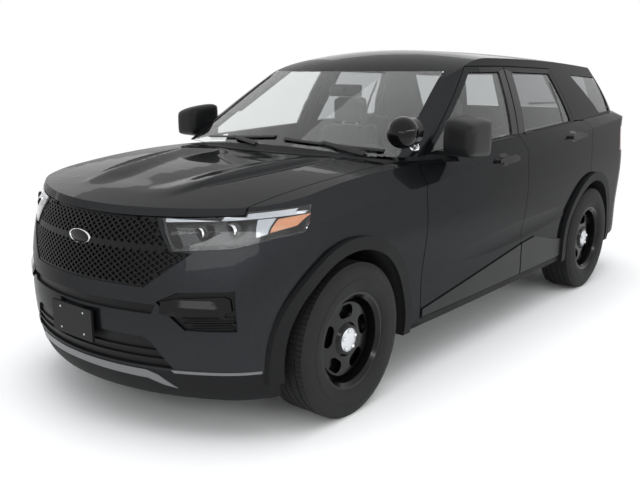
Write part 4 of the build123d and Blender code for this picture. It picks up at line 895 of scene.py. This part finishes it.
# %% Tail pipes and silencer
PIPE_SECTION = (
    (-0.090, 0.034), (0.070, 0.034), (0.074, 0.036), (0.078, 0.034), (0.078, 0.031), (-0.090, 0.031),
)
DRUM_SECTION = ((-0.36, 0.001), (-0.36, 0.085), (-0.34, 0.10), (0.34, 0.10), (0.36, 0.085), (0.36, 0.001))
pipes = []
for x in (0.560, -0.560):
    pipe = turned(PIPE_SECTION, 40, closed=True)
    bmesh.ops.rotate(pipe, verts=pipe.verts, matrix=Matrix.Rotation(radians(90), 3, "Z"))
    bmesh.ops.translate(pipe, verts=pipe.verts, vec=(x, 2.34, 0.330))
    pipes.append(pipe)
make_piece("tail_pipes", merged(*pipes), satin_metal)
drum = turned(DRUM_SECTION, 48)
bmesh.ops.scale(drum, verts=drum.verts, vec=(1, 1.3, 0.62))
bmesh.ops.translate(drum, verts=drum.verts, vec=(0, 2.20, 0.400))
make_piece("silencer", drum, satin_metal)

# %% [markdown]
# ## The bonnet
# The pressed bonnet has two crests that run back from the grille and spread towards the screen, and a shallow
# hollow between them. The skin is a merged copy of the model's panel. Many straight cuts make it fine enough,
# and a smooth rule then lifts the top: steep outside each crest, gentle inside.

# %% Bonnet skin
CREST_FRONT, CREST_REAR = Vector((0.300, -2.22)), Vector((0.500, -1.20))
CREST_HEIGHT, CREST_OUTER, CREST_INNER, HOLLOW = 0.013, 0.060, 0.200, 0.009
CUT_STEPS, FACES_UP, SKIN_SHARP = (0.016, 0.022), 0.6, 16
skin_bm = bmesh.new()
skin_bm.from_mesh(nodes["bonnet"].data)
bmesh.ops.remove_doubles(skin_bm, verts=skin_bm.verts, dist=1e-5)
skin_low, skin_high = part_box("bonnet")
for axis, step in enumerate(CUT_STEPS):
    count = int((skin_high[axis] - skin_low[axis]) / step)
    for index in range(1, count):
        place, normal = Vector(), Vector()
        place[axis], normal[axis] = skin_low[axis] + step * index, 1
        bmesh.ops.bisect_plane(skin_bm, geom=all_geometry(skin_bm), plane_co=place, plane_no=normal)
skin_bm.normal_update()


def smooth_step(low, high, value):
    share = min(max((value - low) / (high - low), 0), 1)
    return share * share * (3 - 2 * share)


def crest_lift(x, y):
    along = (y - CREST_FRONT.y) / (CREST_REAR.y - CREST_FRONT.y)
    ends = smooth_step(-0.02, 0.22, along) * (1 - smooth_step(0.80, 1.04, along))
    across = abs(x) - (CREST_FRONT.x + (CREST_REAR.x - CREST_FRONT.x) * along)
    side = 1 - smooth_step(0, CREST_OUTER if across > 0 else CREST_INNER, abs(across))
    middle = smooth_step(0, CREST_INNER, -across)
    return ends * (CREST_HEIGHT * side - HOLLOW * middle)


for vert in skin_bm.verts:
    if vert.normal.z > FACES_UP:
        vert.co.z += crest_lift(vert.co.x, vert.co.y)
bonnet_skin = make_piece("bonnet_skin", skin_bm, body_paint, "bonnet_body", SKIN_SHARP)
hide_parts("bonnet")

# %% [markdown]
# ## Small bright parts
# A satin grey moulding edges the lower bumper, with a thin line beside it on either side.

# %% Skid strip and lower line
SKID = (
    (-0.400, 0.338), (0.0, 0.340), (0.400, 0.338), (0.452, 0.320), (0.528, 0.258), (0.470, 0.270),
    (0.400, 0.296), (0.0, 0.302), (-0.400, 0.296), (-0.470, 0.270), (-0.528, 0.258), (-0.452, 0.320),
)
LOWER_LINE = ((0.520, 0.352), (0.960, 0.358), (0.960, 0.346), (0.530, 0.338))
SKID_SHEET = 0.0035
valance_tree = tree_of("front_valance", "front_bumper", "lower_grilles")
make_piece("skid_strip", patch(SKID, valance_tree, REARWARD, TRIM_LIFT, SKID_SHEET, 0.04), skid_grey)
for side in SIDES:
    line = patch(LOWER_LINE, valance_tree, REARWARD, TRIM_LIFT, SKID_SHEET)
    make_piece(f"{side}_lower_line", on_side(line, side), skid_grey)

# %% [markdown]
# Four flat screws hold the blank plate holder.

# %% Screws of the plate holder
PLATE_MIDDLE, SCREW_X, SCREW_Z, SCREW_SINK = 0.5105, 0.089, 0.051, 0.0008
BESIDE_HOLE = 0.008  # each look goes past the holder's own screw hole
plate_tree = tree_of("plate_bracket")
screws = []
for x in (SCREW_X, -SCREW_X):
    for z in (PLATE_MIDDLE + SCREW_Z, PLATE_MIDDLE - SCREW_Z):
        front = nose_point(plate_tree, x + BESIDE_HOLE, z)
        screws.append(dome(0.0065, (1, 0.2, 1), (x, front.y + SCREW_SINK, z)))
make_piece("plate_screws", merged(*screws), satin_metal)

# %% [markdown]
# Three bright collars clamp the arm of the spotlight between its ball and its foot on the pillar.

# %% Collars of the spotlight
BALL, FOOT = Vector((0.896, -1.150, 1.334)), Vector((0.850, -0.930, 1.225))


def collar(share, radius, length):
    """share: how far along the arm from the ball."""
    turn = (FOOT - BALL).to_track_quat("Z", "Y").to_matrix().to_4x4()
    bm = bmesh.new()
    bmesh.ops.create_cone(
        bm, cap_ends=True, segments=32, radius1=radius, radius2=radius, depth=length,
        matrix=Matrix.Translation(BALL.lerp(FOOT, share)) @ turn,
    )
    rims = [e for e in bm.edges if any(len(f.verts) > 4 for f in e.link_faces)]
    bmesh.ops.bevel(bm, geom=rims, offset=0.004, segments=3, profile=0.5, affect="EDGES", material=-1)
    return bm


collars = merged(collar(0.40, 0.021, 0.030), collar(0.62, 0.017, 0.036), collar(0.82, 0.024, 0.026))
make_piece("spotlight_collars", collars, chrome)

# %% [markdown]
# ## Studio
# The camera stands where the photographer stood: it was solved from the wheels and other places whose real
# sizes are known. A small shift replaces the crop of the picture.

# %% Camera
camera_data = bpy.data.cameras.new("Camera")
camera = bpy.data.objects.new("Camera", camera_data)
bpy.context.scene.collection.objects.link(camera)
camera.location = (2.9957, -4.4343, 1.6404)
camera.rotation_euler = Vector((-0.62709, 0.73787, -0.24961)).to_track_quat("-Z", "Y").to_euler()
camera_data.sensor_width = 36
camera_data.lens = 43.18
camera_data.shift_x = 0.0362
camera_data.shift_y = 0.0420
camera_data.clip_end = 100
bpy.context.scene.camera = camera

# %% [markdown]
# The floor is pale and wide. Away from the car it fades into plain white, near it the floor is lit normally
# and keeps the shadow. Paint, metal and glass mirror the same white floor and backdrop that the camera sees.

# %% Floor
FLOOR_SIZE, FADE_START, FADE_END = 30, 2.2, 4.6


def shows_white(tree):
    """1 for the rays that see the plain white background: from the camera, mirrored, or through glass."""
    paths = tree.nodes.new("ShaderNodeLightPath")
    seen = calc(tree, "MAXIMUM", paths.outputs["Is Camera Ray"], paths.outputs["Is Transmission Ray"])
    return calc(tree, "MAXIMUM", seen, paths.outputs["Is Glossy Ray"])


floor_bm = bmesh.new()
bmesh.ops.create_grid(floor_bm, x_segments=4, y_segments=4, size=FLOOR_SIZE)
floor_mesh = bpy.data.meshes.new("floor")
floor_bm.to_mesh(floor_mesh)
floor_bm.free()
floor = bpy.data.objects.new("floor", floor_mesh)
bpy.context.scene.collection.objects.link(floor)
floor_finish, floor_shader = new_finish("Pale floor", (0.9, 0.9, 0.9), 0.7)
tree = floor_finish.node_tree
place = tree.nodes.new("ShaderNodeTexCoord")
distance = tree.nodes.new("ShaderNodeVectorMath")
distance.operation = "LENGTH"
fade = tree.nodes.new("ShaderNodeMapRange")
fade.interpolation_type = "SMOOTHSTEP"
fade.inputs["From Min"].default_value = FADE_START
fade.inputs["From Max"].default_value = FADE_END
white = tree.nodes.new("ShaderNodeEmission")
blended = tree.nodes.new("ShaderNodeMixShader")
tree.links.new(place.outputs["Object"], distance.inputs[0])
tree.links.new(distance.outputs["Value"], fade.inputs["Value"])
tree.links.new(calc(tree, "MULTIPLY", shows_white(tree), fade.outputs["Result"]), blended.inputs[0])
tree.links.new(floor_shader.outputs[0], blended.inputs[1])
tree.links.new(white.outputs[0], blended.inputs[2])
tree.links.new(blended.outputs[0], tree.nodes["Material Output"].inputs["Surface"])
floor_mesh.materials.append(floor_finish)

# %% [markdown]
# To everything that it lights, the world is a sky that grows brighter upwards. Where it is seen, it is white.

# %% World
SKY_LEVELS = ((0.0, 0.07), (0.10, 0.09), (0.22, 0.52), (0.42, 0.62), (0.85, 1.0))
world = bpy.data.worlds.new("Studio")
bpy.context.scene.world = world
world.use_nodes = True
tree = world.node_tree
place = tree.nodes.new("ShaderNodeTexCoord")
split = tree.nodes.new("ShaderNodeSeparateXYZ")
ramp = tree.nodes.new("ShaderNodeValToRGB")
ramp.color_ramp.elements.remove(ramp.color_ramp.elements[1])
for position, level in SKY_LEVELS:
    stop = ramp.color_ramp.elements.new(position)
    stop.color = (level * 0.96, level * 0.985, level, 1)
mix = tree.nodes.new("ShaderNodeMix")
mix.data_type = "RGBA"
mix.inputs[7].default_value = (1, 1, 1, 1)
tree.links.new(place.outputs["Generated"], split.inputs[0])
tree.links.new(split.outputs["Z"], ramp.inputs["Fac"])
tree.links.new(shows_white(tree), mix.inputs[0])
tree.links.new(ramp.outputs["Color"], mix.inputs[6])
tree.links.new(mix.outputs[2], tree.nodes["Background"].inputs["Color"])

# %% [markdown]
# Two broad lamps light the car from above and ahead and aren't mirrored. The other four are also mirrored:
# they draw the highlights along the body's side, nose and tail.

# %% Lamps
def add_lamp(name, place, target, size, power, mirrored):
    data = bpy.data.lights.new(name, "AREA")
    data.shape = "RECTANGLE"
    data.size, data.size_y = size
    data.energy = power
    lamp = bpy.data.objects.new(name, data)
    lamp.visible_glossy = mirrored
    lamp.location = place
    lamp.rotation_euler = (Vector(target) - Vector(place)).to_track_quat("-Z", "Y").to_euler()
    bpy.context.scene.collection.objects.link(lamp)


add_lamp("Overhead", (0.5, -0.5, 7.0), (0, 0, 0), (7.0, 9.0), 380, False)
add_lamp("Front", (2.5, -9.0, 4.5), (0, -1.0, 0.8), (6.0, 2.0), 120, False)
add_lamp("Side strip", (6.5, -0.5, 2.9), (0, -0.2, 0.9), (9.0, 0.35), 110, True)
add_lamp("Nose strip", (4.0, -8.0, 2.2), (0.6, -2.2, 0.7), (6.0, 1.2), 60, True)
add_lamp("Rear", (-4.0, 9.0, 4.0), (0, 1.5, 0.8), (7.0, 3.0), 70, True)
add_lamp("Far side", (-8.0, 1.0, 3.2), (0, 0.5, 0.9), (8.0, 2.0), 40, True)
bpy.context.scene.view_settings.view_transform = "Standard"
